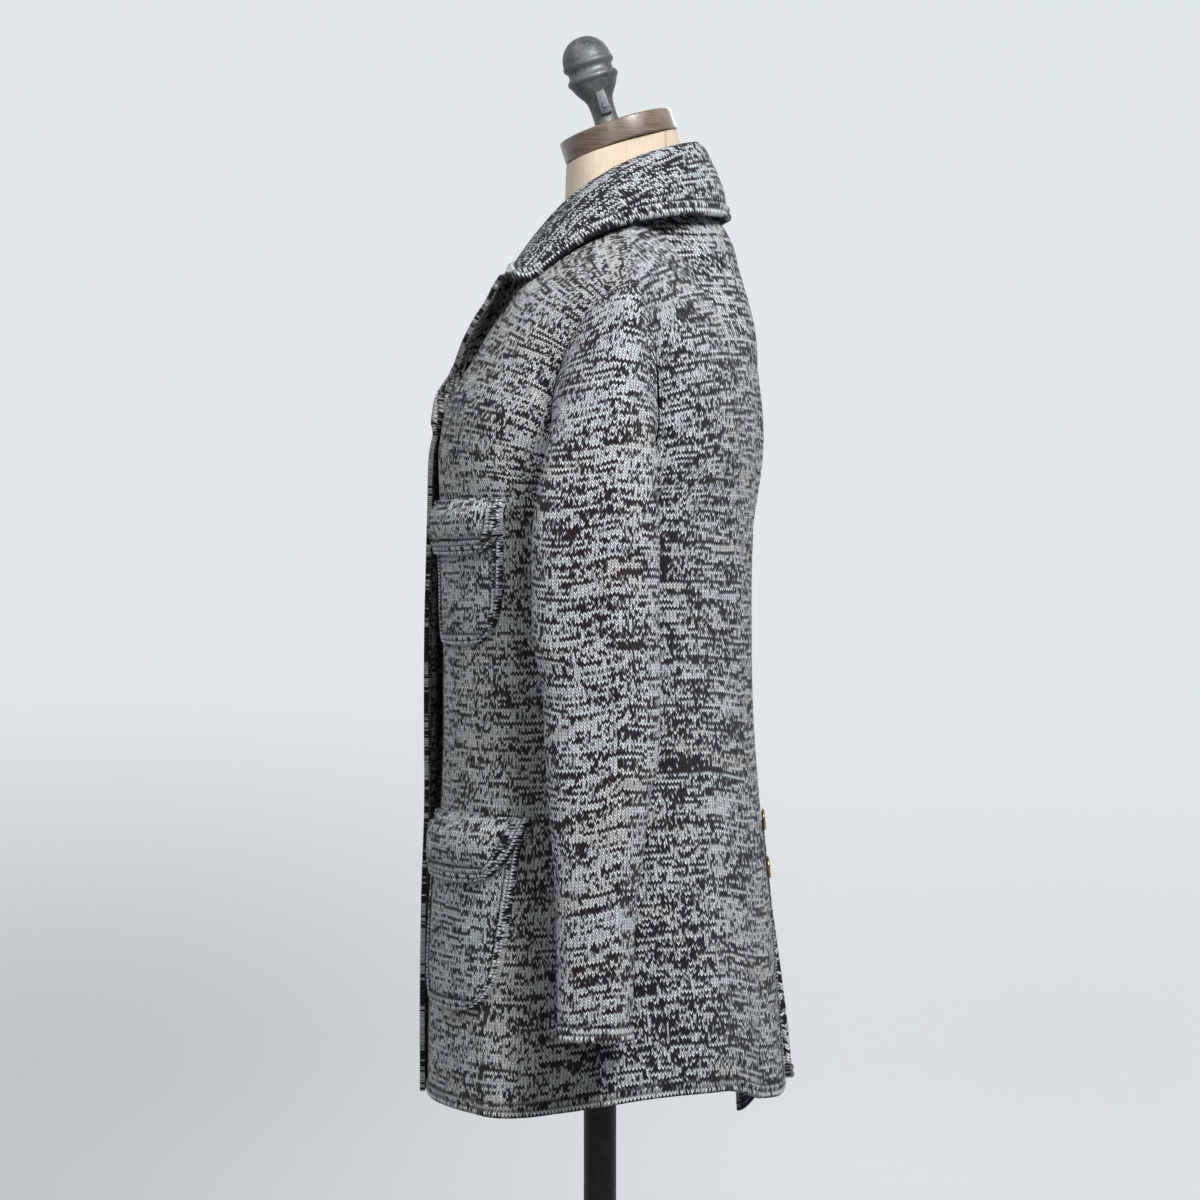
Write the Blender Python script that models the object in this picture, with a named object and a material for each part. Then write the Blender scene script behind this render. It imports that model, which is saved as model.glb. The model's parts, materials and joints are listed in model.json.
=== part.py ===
"""Notched collar cardigan, buttoned, worn by a limbless dress form on a round foot.

Metres, +Z up. The front of the cardigan faces -Y and the wearer's left is +X. The origin is on
the floor, under the middle of the foot. Each sewn piece is one closed wall of knit. Its outer face
is a grid of points, worked out from courses (rows of stitches, counted up from the hem) and wales
(columns of stitches, counted round from the centre line), and its inner face lies CLOTH behind it.
"""

import math

import bmesh
import bpy
import numpy as np
from mathutils.bvhtree import BVHTree

# ---------------------------------------------------------------- driving sizes, metres
CLOTH = 0.0026             # thickness of the knit
SEAM = 0.0003              # clearance left between two pieces that are sewn together
LAID = 0.0008              # clearance under a piece that lies on a panel
TRIM_RISE = 0.0011         # how far a knitted border stands above the plain knit
HEM_TRIM = 0.012           # height of the border along the hem
EDGE_TRIM = 0.011          # width of the border along a front edge, a lapel and the vent
POCKET_TRIM = 0.009        # width of the border round a pocket and its flap

UNDERARM = 1.140           # height of the underarm
LOWER_COURSES = 0.508      # knitted length from the hem to the underarm
YOKE_COURSES = 0.250       # knitted length from the underarm to the neck
BUTTON_LAP = 0.020         # how far each front reaches past the centre line
ROLL_WALE = -0.008         # the wale on which the lapel rolls, from the centre line
GORGE = 0.81               # share of the yoke at which the lapel ends and the neckline starts
LAP_BLEND = 0.060          # width over which the upper front comes down to the body
CURL_WIDTH = 0.024         # width over which its edge curls out
FRONT_HOLD = 1.7           # how long the front keeps its shape above the underarm
BACK_HOLD = 2.4            # how long the back does
LAPEL_ROLL = 0.0024        # radius inside the lapel's fold
LAPEL_STEP = 0.0002        # step in which the lapel's fold is followed
VENT_TOP = 0.230           # course at which the back vent starts
VENT_PARTING = 0.0036      # how far the vent's upper edge stands off the centre line
VENT_SPREAD = 0.0060       # how much further it opens at the hem
VENT_SWELL = 0.0085        # how far the lower back stands out beside the vent at the hem
VENT_SWELL_WIDTH = 0.035
UNDERLAP = 0.043           # width of the strip behind the vent
UNDERLAP_SWING = (6, 46)   # degrees that the strip turns in at the vent's top, more at the hem
UNDERLAP_TUCK = (0.0048, 0.0085)   # how far it lies behind the upper back, more at the hem
UNDERLAP_DROP = 0.025      # how far its corner hangs below the hem
SQUARENESS = 0.86          # 1 gives elliptical rings, less gives squarer ones
ARMHOLE_HOLD = 3.0         # how closely the shape of the armhole is kept to the armhole
GIRTH_HEIGHT = 1.000       # ring along which wales are measured
NECK_TILT = 0.55           # how steeply the neck seam's walls tilt up
SHOULDER_TILT = (0.30, 0.15, 0.55)   # sideways share of the armhole seam: all round, ends, foot
POCKET_SWELL = 0.0006      # how far a pocket's middle swells
POCKET_SWELL_WIDTH = 0.030
CORNER_BOW = 0.05          # how far a pocket's lower edge bows, as a share of its corner radius

FOOT_RADIUS = 0.190
FOOT_THICKNESS = 0.022
POLE_RADIUS = 0.014
BUTTON_RADIUS = 0.0095
BUTTON_THICKNESS = 0.0030
BUTTON_GAP = 0.0006        # clearance under a button

BODY = (
    # height, half width, front depth, back depth
    (0.615, 0.2060, 0.1465, 0.1590),
    (0.700, 0.2035, 0.1460, 0.1530),
    (0.800, 0.1980, 0.1420, 0.1450),
    (0.885, 0.1900, 0.1355, 0.1365),
    (0.960, 0.1825, 0.1335, 0.1310),
    (1.060, 0.1785, 0.1335, 0.1295),
    (1.140, 0.1820, 0.1365, 0.1315),
    (1.220, 0.1860, 0.1385, 0.1345),
)
HEM = (
    # degrees round from centre front, height of the hem there
    (-20, 0.641), (0, 0.641), (30, 0.643), (60, 0.642), (80, 0.648), (100, 0.659),
    (125, 0.662), (150, 0.648), (170, 0.645), (180, 0.650), (200, 0.648),
)
LAP_LIFT = (
    # course, how far the upper front stands off the body, how much more its edge curls out
    (0.000, 0.0052, 0.0000), (0.080, 0.0056, 0.0008), (0.150, 0.0064, 0.0022),
    (0.250, 0.0086, 0.0046), (0.330, 0.0100, 0.0054), (0.430, 0.0092, 0.0052),
    (0.508, 0.0062, 0.0030), (0.560, 0.0050, 0.0012), (0.620, 0.0030, 0.0000),
    (0.700, 0.0000, 0.0000),
)
FRONT_OPENING = (
    # share of the yoke, x, y, z of the line on which the lapel rolls, then of the neckline
    (0.00, -0.0080, -0.1365, 1.1400),
    (0.16, -0.0080, -0.1378, 1.1790),
    (0.26, -0.0035, -0.1352, 1.2030),
    (0.33, 0.0038, -0.1308, 1.2205),
    (0.40, 0.0090, -0.1235, 1.2376),
    (0.50, 0.0170, -0.1090, 1.2620),
    (0.60, 0.0262, -0.0950, 1.2864),
    (0.70, 0.0358, -0.0793, 1.3108),
    (0.81, 0.0455, -0.0610, 1.3370),
    (0.87, 0.0550, -0.0370, 1.3550),
    (0.94, 0.0630, -0.0050, 1.3725),
    (1.00, 0.0670, 0.0260, 1.3840),
)
BACK_CENTRE = (
    # share of the yoke, x, y, z of the seam down the middle of the back
    (0.00, 0.0, 0.1315, 1.1400),
    (0.25, 0.0, 0.1342, 1.2030),
    (0.50, 0.0, 0.1350, 1.2650),
    (0.58, 0.0, 0.1338, 1.2850),
    (0.66, 0.0, 0.1300, 1.3050),
    (0.74, 0.0, 0.1245, 1.3250),
    (0.82, 0.0, 0.1190, 1.3450),
    (0.90, 0.0, 0.1140, 1.3640),
    (0.96, 0.0, 0.1050, 1.3800),
    (1.00, 0.0, 0.0950, 1.3900),
)
FRONT_ARMHOLE = (
    # share of the yoke, x, y, z
    (0.00, 0.1820, 0.0000, 1.1400),
    (0.12, 0.1765, -0.0240, 1.1500),
    (0.25, 0.1710, -0.0370, 1.1720),
    (0.42, 0.1680, -0.0400, 1.2080),
    (0.60, 0.1700, -0.0330, 1.2460),
    (0.78, 0.1790, -0.0180, 1.2800),
    (0.90, 0.1895, 0.0030, 1.3040),
    (1.00, 0.2000, 0.0260, 1.3180),
)
BACK_ARMHOLE = (
    # share of the yoke, x, y, z
    (0.00, 0.1820, 0.0000, 1.1400),
    (0.12, 0.1780, 0.0260, 1.1500),
    (0.25, 0.1740, 0.0410, 1.1720),
    (0.42, 0.1715, 0.0480, 1.2080),
    (0.60, 0.1735, 0.0470, 1.2460),
    (0.78, 0.1815, 0.0420, 1.2800),
    (0.90, 0.1910, 0.0350, 1.3040),
    (1.00, 0.2000, 0.0260, 1.3180),
)
BACK_NECK_SHARE = 0.41     # share of the back's top edge that is neckline, the rest is shoulder
BACK_NECK = (
    # share of the back's top edge, x, y, z
    (0.00, 0.0000, 0.0950, 1.3900),
    (0.14, 0.0340, 0.0860, 1.3895),
    (0.28, 0.0570, 0.0600, 1.3870),
    (0.41, 0.0670, 0.0260, 1.3840),
)
LAPEL_WIDTH = (
    # share of the yoke, width of the strip outside the roll line
    (0.00, 0.0120), (0.24, 0.0120), (0.35, 0.0092), (0.41, 0.0100), (0.50, 0.0270), (0.58, 0.0400),
    (0.66, 0.0485), (0.74, 0.0545), (0.81, 0.0580), (1.00, 0.0600),
)
LAPEL_FOLD = (
    # share of the yoke, degrees that the strip is turned back
    (0.000, 0), (0.325, 0), (0.370, 50), (0.410, 105), (0.450, 150), (0.500, 168), (1.000, 168),
)
EARLY_OPENING = 0.085      # share of the yoke by which the upper front opens lower
SLEEVE = (
    # height, middle x, half width, middle y, half depth
    (0.7110, 0.2310, 0.0225, -0.0043, 0.0296),
    (0.7360, 0.2300, 0.0225, -0.0040, 0.0300),
    (0.8100, 0.2275, 0.0245, -0.0032, 0.0318),
    (0.8610, 0.2245, 0.0265, -0.0015, 0.0365),
    (0.8950, 0.2225, 0.0280, -0.0010, 0.0402),
    (0.9320, 0.2200, 0.0290, 0.0016, 0.0450),
    (0.9900, 0.2185, 0.0300, 0.0008, 0.0472),
    (1.0340, 0.2180, 0.0310, -0.0032, 0.0510),
    (1.1000, 0.2185, 0.0310, -0.0035, 0.0510),
)
SLEEVE_JOIN = 1.100        # height below which the sleeve hangs as plain rings
SLEEVE_RIDGE = (
    # height, y of the pressed ridge down the outside of the sleeve
    (0.711, 0.0095), (0.800, 0.0135), (0.900, 0.0159), (1.000, 0.0150), (1.100, 0.0110),
)
RIDGE_RISE = 0.0030
RIDGE_WIDTH = 0.020        # half width of the pressed ridge
SLEEVE_SQUARENESS = 0.92
SLEEVE_SETTING_OFF = 0.62  # how stiffly the sleeve's cap sets off from the armhole
SLEEVE_HANGING = 1.05      # how stiffly it turns down into the hanging sleeve
COLLAR_FOLD = (
    # share of the half collar from the back, x, y, z of the fold
    (0.00, 0.0000, 0.0850, 1.4500),
    (0.14, 0.0300, 0.0790, 1.4480),
    (0.28, 0.0500, 0.0560, 1.4410),
    (0.42, 0.0600, 0.0260, 1.4300),
    (0.56, 0.0615, -0.0050, 1.4130),
    (0.70, 0.0590, -0.0300, 1.3940),
    (0.84, 0.0540, -0.0510, 1.3715),
    (1.00, 0.0475, -0.0690, 1.3485),
)
COLLAR_EDGE = (
    # share of the half collar from the back, x, y, z of the free edge
    (0.00, 0.0000, 0.1115, 1.3840),
    (0.14, 0.0480, 0.1000, 1.3830),
    (0.28, 0.0860, 0.0660, 1.3800),
    (0.42, 0.1030, 0.0270, 1.3725),
    (0.56, 0.1080, -0.0090, 1.3595),
    (0.70, 0.1060, -0.0340, 1.3430),
    (0.84, 0.1030, -0.0550, 1.3270),
    (0.94, 0.1000, -0.0690, 1.3245),
    (1.00, 0.0945, -0.0790, 1.3305),
)
COLLAR_FRONT_SHARE = 0.42  # share of the half collar that lies behind the shoulder seam
COLLAR_ROLL = 0.0052       # radius of the outside of the collar's fold
COLLAR_FOOT = 0.0012       # clearance of the collar's foot above the neck seam
COLLAR_FOOT_FRONT = 0.0050 # how much more it has at the front
COLLAR_BELLY = 0.0030      # how far the fall of the collar swells out

FOLDS = (
    # panel, course from, course to, wale of the middle, half width, how far it stands out
    ("front", 0.236, 0.620, 0.204, 0.036, -0.0050),
    ("front", -0.140, 0.100, 0.172, 0.026, 0.0050),
    ("front", -0.140, 0.120, 0.222, 0.022, -0.0050),
    ("back", -0.100, 0.230, 0.168, 0.036, 0.0050),
    ("back", -0.120, 0.210, 0.100, 0.030, -0.0050),
    ("back", 0.300, 0.560, 0.150, 0.045, -0.0035),
    ("back_right", 0.440, 0.690, 0.048, 0.042, 0.0110),
)

POCKETS = (
    # name, wale from, wale to, course of the top, course of the bottom, taper, corner radius
    ("chest_pocket", 0.042, 0.173, 0.498, 0.388, 0.06, 0.036),
    ("hip_pocket", 0.040, 0.192, 0.231, 0.084, 0.16, 0.045),
)
FLAPS = (
    # name, wale from, wale to, course of the top, course of the bottom, taper, corner radius
    ("chest_flap", 0.039, 0.177, 0.511, 0.464, 0.04, 0.031),
    ("hip_flap", 0.037, 0.198, 0.246, 0.190, 0.15, 0.040),
)
FLAP_LIFTS = (
    # share of the flap's height from its top, clearance under it
    (0.00, LAID), (0.09, 0.0012), (0.25, 0.0056), (0.65, 0.0060), (1.00, 0.0054),
)

FRONT_BUTTONS = (0.515, 0.430, 0.345, 0.260, 0.175)      # courses
FRONT_BUTTON_WALE = 0.0040
VENT_BUTTONS = (0.232, 0.190)                            # courses
VENT_BUTTON_WALE = 0.0220

FORM = (
    # height, half width, front depth, back depth, lean: how far the front is lower than the back
    (0.700, 0.134, 0.086, 0.078, 0.0),
    (0.712, 0.145, 0.096, 0.090, 0.0),
    (0.800, 0.148, 0.100, 0.104, 0.0),
    (0.900, 0.136, 0.096, 0.102, 0.0),
    (1.000, 0.118, 0.088, 0.094, 0.0),
    (1.080, 0.124, 0.094, 0.098, 0.0),
    (1.160, 0.134, 0.102, 0.104, 0.0),
    (1.230, 0.146, 0.092, 0.110, 0.0),
    (1.280, 0.158, 0.073, 0.112, 0.0),
    (1.315, 0.158, 0.050, 0.108, 0.0),
    (1.342, 0.126, 0.029, 0.094, 0.0),
    (1.362, 0.086, 0.023, 0.084, 0.004),
    (1.382, 0.0570, 0.0270, 0.0820, 0.010),
    (1.405, 0.0510, 0.0300, 0.0760, 0.020),
    (1.4455, 0.0495, 0.0290, 0.0660, 0.0315),
)
FORM_CLEARANCE = 0.0013    # cloth rests this close on the shoulders of the form
FORM_SIDES = 26
NECK_LEAN = math.radians(17.8)
NECK_CAP_MIDDLE = (0.0, 0.0158, 1.4557)
NECK_CAP_RADIUS = 0.0500
NECK_CAP_THICKNESS = 0.0190
NECK_CAP_BEVEL = 0.0018
POLE_TOP = 0.700
FINIAL_AT = -0.0055        # the finial stands this far in front of the neck cap's middle
FINIAL = (
    # height up the finial, radius
    (0.0000, 0.0112), (0.0100, 0.0104), (0.0180, 0.0106), (0.0255, 0.0115), (0.0300, 0.0145),
    (0.0360, 0.0183), (0.0410, 0.0206), (0.0435, 0.0222), (0.0460, 0.0220), (0.0485, 0.0198),
    (0.0530, 0.0194), (0.0555, 0.0216), (0.0585, 0.0222), (0.0605, 0.0214), (0.0660, 0.0206),
    (0.0720, 0.0180), (0.0770, 0.0135), (0.0805, 0.0075), (0.0815, 0.0025),
)

# colour and gloss of each finish: red, green, blue, roughness, metallic
FINISHES = {
    "knit": (0.22, 0.21, 0.23, 0.95, 0.0),
    "linen": (0.72, 0.63, 0.49, 0.85, 0.0),
    "wood": (0.07, 0.045, 0.035, 0.45, 0.0),
    "pewter": (0.16, 0.17, 0.17, 0.42, 0.9),
    "iron": (0.05, 0.05, 0.055, 0.40, 0.9),
    "brass": (0.50, 0.36, 0.16, 0.35, 1.0),
}

# ---------------------------------------------------------------- grid lines of the panels
LOWER_ROWS = (0.0, 0.0045, 0.0085, 0.0120, 0.055, 0.110, 0.170, VENT_TOP - 0.006, VENT_TOP, 0.290,
              0.350, 0.410, 0.460, LOWER_COURSES)
FRONT_YOKE_ROWS = (0.09, 0.18, 0.26, 0.33, 0.37, 0.41, 0.45, 0.51, 0.58, 0.66, 0.74, GORGE, 0.86,
                   0.91, 0.955, 1.0)
BACK_YOKE_ROWS = (0.10, 0.21, 0.32, 0.43, 0.54, 0.64, 0.73, 0.81, 0.88, 0.94, 1.0)
FRONT_COLUMNS = (0.0, 0.08, 0.18, 0.29, 0.41, 0.53, 0.65, 0.77, 0.89, 1.0)
BACK_COLUMNS = (0.0, 0.020, 0.044, 0.12, 0.20, 0.275, 0.345, BACK_NECK_SHARE, 0.53, 0.65, 0.77,
                0.89, 1.0)
STRIP_CELLS = 5
UNDERLAP_DISTANCES = (UNDERLAP, 0.036, 0.022, 0.010, 0.0055, 0.0025)
SLEEVE_CAP_ROWS = (0.0, 0.12, 0.30, 0.52, 0.76, 1.0)
SLEEVE_ROWS = (1.050, 0.995, 0.940, 0.890, 0.840, 0.780, 0.711)
COLLAR_ROWS = (0.0, 0.16, 0.34, 0.44, 0.50, 0.56, 0.68, 0.80, 0.885, 0.915, 0.955, 1.0)


# ---------------------------------------------------------------- small helpers
def smooth(table, at):
    """The other columns of a table at a place along its first column, on a smooth curve."""
    table = np.asarray(table, float)
    keys = table[:, 0]
    values = table[:, 1:]
    secants = np.diff(values, axis=0) / np.diff(keys)[:, None]
    slopes = np.concatenate((secants[:1], secants, secants[-1:]))
    before = slopes[:-1]
    after = slopes[1:]
    limit = 3 * np.minimum(np.abs(before), np.abs(after))
    slopes = np.where(before * after > 0, np.clip((before + after) / 2, -limit, limit), 0.0)
    at = np.clip(np.asarray(at, float), keys[0], keys[-1])
    low = np.clip(np.searchsorted(keys, at) - 1, 0, len(keys) - 2)
    span = (keys[low + 1] - keys[low])[..., None]
    part = (at[..., None] - keys[low][..., None]) / span
    square = part * part
    cube = square * part
    result = (values[low] * (2 * cube - 3 * square + 1) + values[low + 1] * (3 * square - 2 * cube)
              + span * slopes[low] * (cube - 2 * square + part)
              + span * slopes[low + 1] * (cube - square))
    return result


def smooth_value(table, at):
    """The second column of a table at a place along its first column."""
    return smooth([row[:2] for row in table], at)[..., 0]


def ease(part):
    """0 to 1 with a soft start and end."""
    part = np.clip(part, 0.0, 1.0)
    return part * part * (3 - 2 * part)


def bump(offset):
    """1 in the middle, 0 beyond one half width."""
    return ease(1 - np.abs(offset))


def unit(vectors):
    """The same directions with length 1."""
    length = np.linalg.norm(vectors, axis=-1, keepdims=True)
    return vectors / np.maximum(length, 1e-12)


def turn(vector, axis, angle):
    """A vector turned about a unit axis."""
    cosine = math.cos(angle)
    sine = math.sin(angle)
    along = axis * float(np.dot(axis, vector)) * (1 - cosine)
    return vector * cosine + np.cross(axis, vector) * sine + along


def resample(path, shares):
    """Points at given shares of a path's length."""
    path = np.asarray(path, float)
    steps = np.linalg.norm(np.diff(path, axis=0), axis=1)
    run = np.concatenate(([0.0], np.cumsum(steps)))
    wanted = np.asarray(shares) * run[-1]
    return np.stack([np.interp(wanted, run, path[:, axis]) for axis in range(3)], axis=1)


def mirrored(points, side):
    """Points of the wearer's left taken over to the given side."""
    return points * np.array((side, 1.0, 1.0))


# ---------------------------------------------------------------- objects and materials
def material(node, finish):
    """A Principled material of the node's own."""
    red, green, blue, roughness, metallic = FINISHES[finish]
    made = bpy.data.materials.new(node)
    made.use_nodes = True
    shader = made.node_tree.nodes["Principled BSDF"]
    shader.inputs["Base Color"].default_value = (red, green, blue, 1.0)
    shader.inputs["Roughness"].default_value = roughness
    shader.inputs["Metallic"].default_value = metallic
    return made


def keep_object(node, mesh_data, finish, sharp=40.0):
    """Turn a bmesh into a named object, shaded smooth but for its sharp edges."""
    bmesh.ops.triangulate(mesh_data, faces=mesh_data.faces, quad_method="SHORT_EDGE")
    mesh = bpy.data.meshes.new(node)
    mesh_data.to_mesh(mesh)
    mesh_data.free()
    mesh.shade_smooth()
    mesh.set_sharp_from_angle(angle=math.radians(sharp))
    mesh.materials.append(material(node, finish))
    made = bpy.data.objects.new(node, mesh)
    bpy.context.scene.collection.objects.link(made)
    return made


def cells_of(rows, columns, closed, keep):
    """Corner indices of each cell of a grid, counted round its outer side."""
    across = columns if closed else columns - 1
    for row in range(rows - 1):
        for column in range(across):
            if keep is None or keep[row, column]:
                after = (column + 1) % columns
                yield ((row, column), (row, after), (row + 1, after), (row + 1, column))


def grid_normals(points, closed=False, keep=None, flip=False):
    """Outward direction at each point of a grid, from the cells round it."""
    total = np.zeros_like(points)
    for corners in cells_of(points.shape[0], points.shape[1], closed, keep):
        first, second, third, fourth = (points[corner] for corner in corners)
        facing = np.cross(third - first, fourth - second)
        for corner in corners:
            total[corner] += facing
    return unit(-total if flip else total)


def wall(node, outer, inner, finish, closed=False, keep=None, flip=False):
    """One closed wall between two grids, with a rim round every open edge."""
    mesh_data = bmesh.new()
    rows, columns = outer.shape[:2]
    cells = list(cells_of(rows, columns, closed, keep))
    used = sorted({corner for cell in cells for corner in cell})
    out = {corner: mesh_data.verts.new(outer[corner]) for corner in used}
    into = {corner: mesh_data.verts.new(inner[corner]) for corner in used}
    edges = set()
    for cell in cells:
        ring = cell[::-1] if flip else cell
        mesh_data.faces.new([out[corner] for corner in ring])
        mesh_data.faces.new([into[corner] for corner in reversed(ring)])
        edges.update(zip(ring, ring[1:] + ring[:1]))
    for start, end in sorted(edges):
        if (end, start) not in edges:
            mesh_data.faces.new((out[end], out[start], into[start], into[end]))
    return keep_object(node, mesh_data, finish)


def lathe(node, profile, finish, place=(0, 0, 0), lean=0.0, sides=24):
    """A turned solid: profile rows of height and radius, leant about X towards the front."""
    mesh_data = bmesh.new()
    points = [mesh_data.verts.new((radius, 0, height)) for height, radius in profile]
    edges = [mesh_data.edges.new(pair) for pair in zip(points, points[1:])]
    bmesh.ops.spin(mesh_data, geom=points + edges, cent=(0, 0, 0), axis=(0, 0, 1),
                   angle=math.tau, steps=sides, use_merge=True)
    for height in (profile[0][0], profile[-1][0]):
        rim = [edge for edge in mesh_data.edges
               if edge.is_boundary and all(abs(v.co.z - height) < 1e-6 for v in edge.verts)]
        bmesh.ops.edgeloop_fill(mesh_data, edges=rim)
    bmesh.ops.recalc_face_normals(mesh_data, faces=mesh_data.faces)
    made = keep_object(node, mesh_data, finish, sharp=50.0)
    made.location = place
    made.rotation_euler = (lean, 0, 0)
    return made


# ---------------------------------------------------------------- the body of the cardigan
def ring(height, angle):
    """Outer face of the body: angle 0 is centre front, a quarter turn the side, half the back."""
    width, front, back = np.moveaxis(smooth(BODY, height), -1, 0)
    sine = np.sin(angle)
    cosine = np.cos(angle)
    x = width * np.sign(sine) * np.abs(sine) ** SQUARENESS
    depth = np.where(cosine > 0, front, back)
    y = -depth * np.sign(cosine) * np.abs(cosine) ** SQUARENESS
    return np.stack(np.broadcast_arrays(x, y, height), axis=-1)


def quarter(back):
    """Distances round the body from the centre line to the side, and the angle at each."""
    angles = np.linspace(0, math.pi / 2, 400)
    path = ring(np.full(400, GIRTH_HEIGHT), math.pi - angles if back else angles)
    steps = np.linalg.norm(np.diff(path, axis=0), axis=1)
    return np.concatenate(([0.0], np.cumsum(steps))), angles


FRONT_RUN, FRONT_ANGLES = quarter(False)
BACK_RUN, BACK_ANGLES = quarter(True)
FRONT_WIDTH = FRONT_RUN[-1] - SEAM / 2
BACK_WIDTH = BACK_RUN[-1] - SEAM / 2
SHOULDER_NECK = np.array(FRONT_OPENING[-1][1:])
SHOULDER_TIP = np.array(FRONT_ARMHOLE[-1][1:])


def lower_body(course, angle):
    """The body below the underarm, between the waved hem and the underarm ring."""
    hem = smooth_value(HEM, np.degrees(angle))
    share = np.clip(course / LOWER_COURSES, 0, 1)
    return ring(hem + (UNDERARM - hem) * share, angle)


def patch(share, along, late, bottom, top, inner, outer):
    """A surface across four edges; late says how long it keeps the shape of its bottom edge."""
    rise = (share ** late)[..., None]
    along = (np.clip(along, 0, 1) ** ARMHOLE_HOLD)[..., None]
    corners = ((1 - along) * (1 - rise) * bottom[0] + along * (1 - rise) * bottom[1]
               + (1 - along) * rise * top[0] + along * rise * top[1])
    return ((1 - rise) * bottom[2] + rise * top[2] + (1 - along) * inner + along * outer - corners)


def folds(panel, course, wale):
    """How far the soft folds of a panel stand out at each point."""
    total = np.zeros(np.broadcast(course, wale).shape)
    for where, start, end, middle, half, rise in FOLDS:
        if panel.startswith(where):
            length = bump((course - (start + end) / 2) / ((end - start) / 2))
            total = total + rise * length * bump((wale - middle) / half)
    return total


def opened(share, over):
    """Share of the yoke at which to read the lapel's tables: the upper front opens lower."""
    return share + (EARLY_OPENING * bump((share - 0.28) / 0.40) if over else 0.0)


def opening(share, over):
    """The roll line, then the neckline, of one front."""
    line = smooth(FRONT_OPENING, share)
    line[..., 0] = smooth(FRONT_OPENING, opened(share, over))[..., 0]
    return line


def front_base(course, wale, over=False):
    """Front panel, from the roll line to the side seam, without its soft folds."""
    course, wale = np.broadcast_arrays(np.asarray(course, float), np.asarray(wale, float))
    angle = np.sign(wale) * np.interp(np.abs(wale), FRONT_RUN, FRONT_ANGLES)
    share = np.clip((course - LOWER_COURSES) / YOKE_COURSES, 0, 1)
    along = (wale - ROLL_WALE) / (FRONT_WIDTH - ROLL_WALE)
    corners = ring(np.full(2, UNDERARM), np.interp((-ROLL_WALE, FRONT_WIDTH), FRONT_RUN,
                                                   FRONT_ANGLES) * np.array((-1, 1)))
    bottom = (corners[0], corners[1], ring(np.full_like(angle, UNDERARM), angle))
    seam = SHOULDER_NECK + (SHOULDER_TIP - SHOULDER_NECK) * along[..., None]
    top = (SHOULDER_NECK, SHOULDER_TIP, seam)
    upper = patch(share, along, FRONT_HOLD, bottom, top, opening(share, over),
                  smooth(FRONT_ARMHOLE, share))
    return np.where(course[..., None] > LOWER_COURSES, upper, lower_body(course, angle))


def back_base(course, wale):
    """Back panel, from the centre seam to the side seam, without its soft folds."""
    course, wale = np.broadcast_arrays(np.asarray(course, float), np.asarray(wale, float))
    angle = math.pi - np.interp(wale, BACK_RUN, BACK_ANGLES)
    share = np.clip((course - LOWER_COURSES) / YOKE_COURSES, 0, 1)
    along = wale / BACK_WIDTH
    corners = ring(np.full(2, UNDERARM), np.array((math.pi, math.pi / 2)))
    bottom = (corners[0], corners[1], ring(np.full_like(angle, UNDERARM), angle))
    past = np.clip((along - BACK_NECK_SHARE) / (1 - BACK_NECK_SHARE), 0, 1)[..., None]
    seam = np.where(past > 0, SHOULDER_NECK + (SHOULDER_TIP - SHOULDER_NECK) * past,
                    smooth(BACK_NECK, along))
    top = (np.array(BACK_NECK[0][1:]), SHOULDER_TIP, seam)
    upper = patch(share, along, BACK_HOLD, bottom, top, smooth(BACK_CENTRE, share),
                  smooth(BACK_ARMHOLE, share))
    return np.where(course[..., None] > LOWER_COURSES, upper, lower_body(course, angle))


def facing(surface, course, wale, outward):
    """Outward direction of a surface at each course and wale."""
    step = 0.0015
    course = np.clip(course, step, LOWER_COURSES + YOKE_COURSES - step)
    up = surface(course + step, wale) - surface(course - step, wale)
    side = surface(course, wale + step) - surface(course, wale - step)
    return unit(np.cross(side, up)) * outward


def lap_lift(course, wale, over):
    """How far the upper of the two fronts stands off near its edge."""
    if not over:
        return np.zeros(np.broadcast(course, wale).shape)
    lift, curl = np.moveaxis(smooth(LAP_LIFT, course), -1, 0)
    near = ease(1 - (wale - BUTTON_LAP - 0.003) / LAP_BLEND)
    return lift * near + curl * ease((0.006 - wale) / CURL_WIDTH)


def front_surface(course, wale, over=False):
    """Outer face of a front from its roll line to the side seam."""
    out = folds("front", course, wale) + lap_lift(course, wale, over)
    away = facing(lambda c, w: front_base(c, w, over), course, wale, 1)
    return front_base(course, wale, over) + away * out[..., None]


def back_surface(course, wale, panel):
    """Outer face of a back from the centre seam to the side seam."""
    out = folds(panel, course, wale)
    inside = np.clip(wale, 0.002, None)
    return back_base(course, wale) + facing(back_base, course, inside, -1) * out[..., None]


def lapel_strip(start, inward, axis, angle, distances):
    """Points across the strip outside the roll line, turned back about the roll by an angle."""
    place = start.copy()
    points = []
    run = 0.0
    step = LAPEL_STEP
    rolled = max(LAPEL_ROLL * angle, 1e-9)
    for distance in distances:
        while run < distance - step / 2:
            heading = turn(inward, axis, angle * min(1.0, (run + step / 2) / rolled))
            place = place + heading * step
            run += step
        points.append(place)
    return np.array(points)


def strip_distances(width):
    """Distances of the strip's grid lines from the roll line, for a strip of a given width."""
    wide = ease((width - 0.012) / 0.020)
    narrow = width * np.array((0.10, 0.20, 0.30, 0.65, 1.0))
    broad = np.array((0.0037, 0.0080, width - EDGE_TRIM, width - EDGE_TRIM / 2, width))
    return narrow + (broad - narrow) * wide


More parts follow.
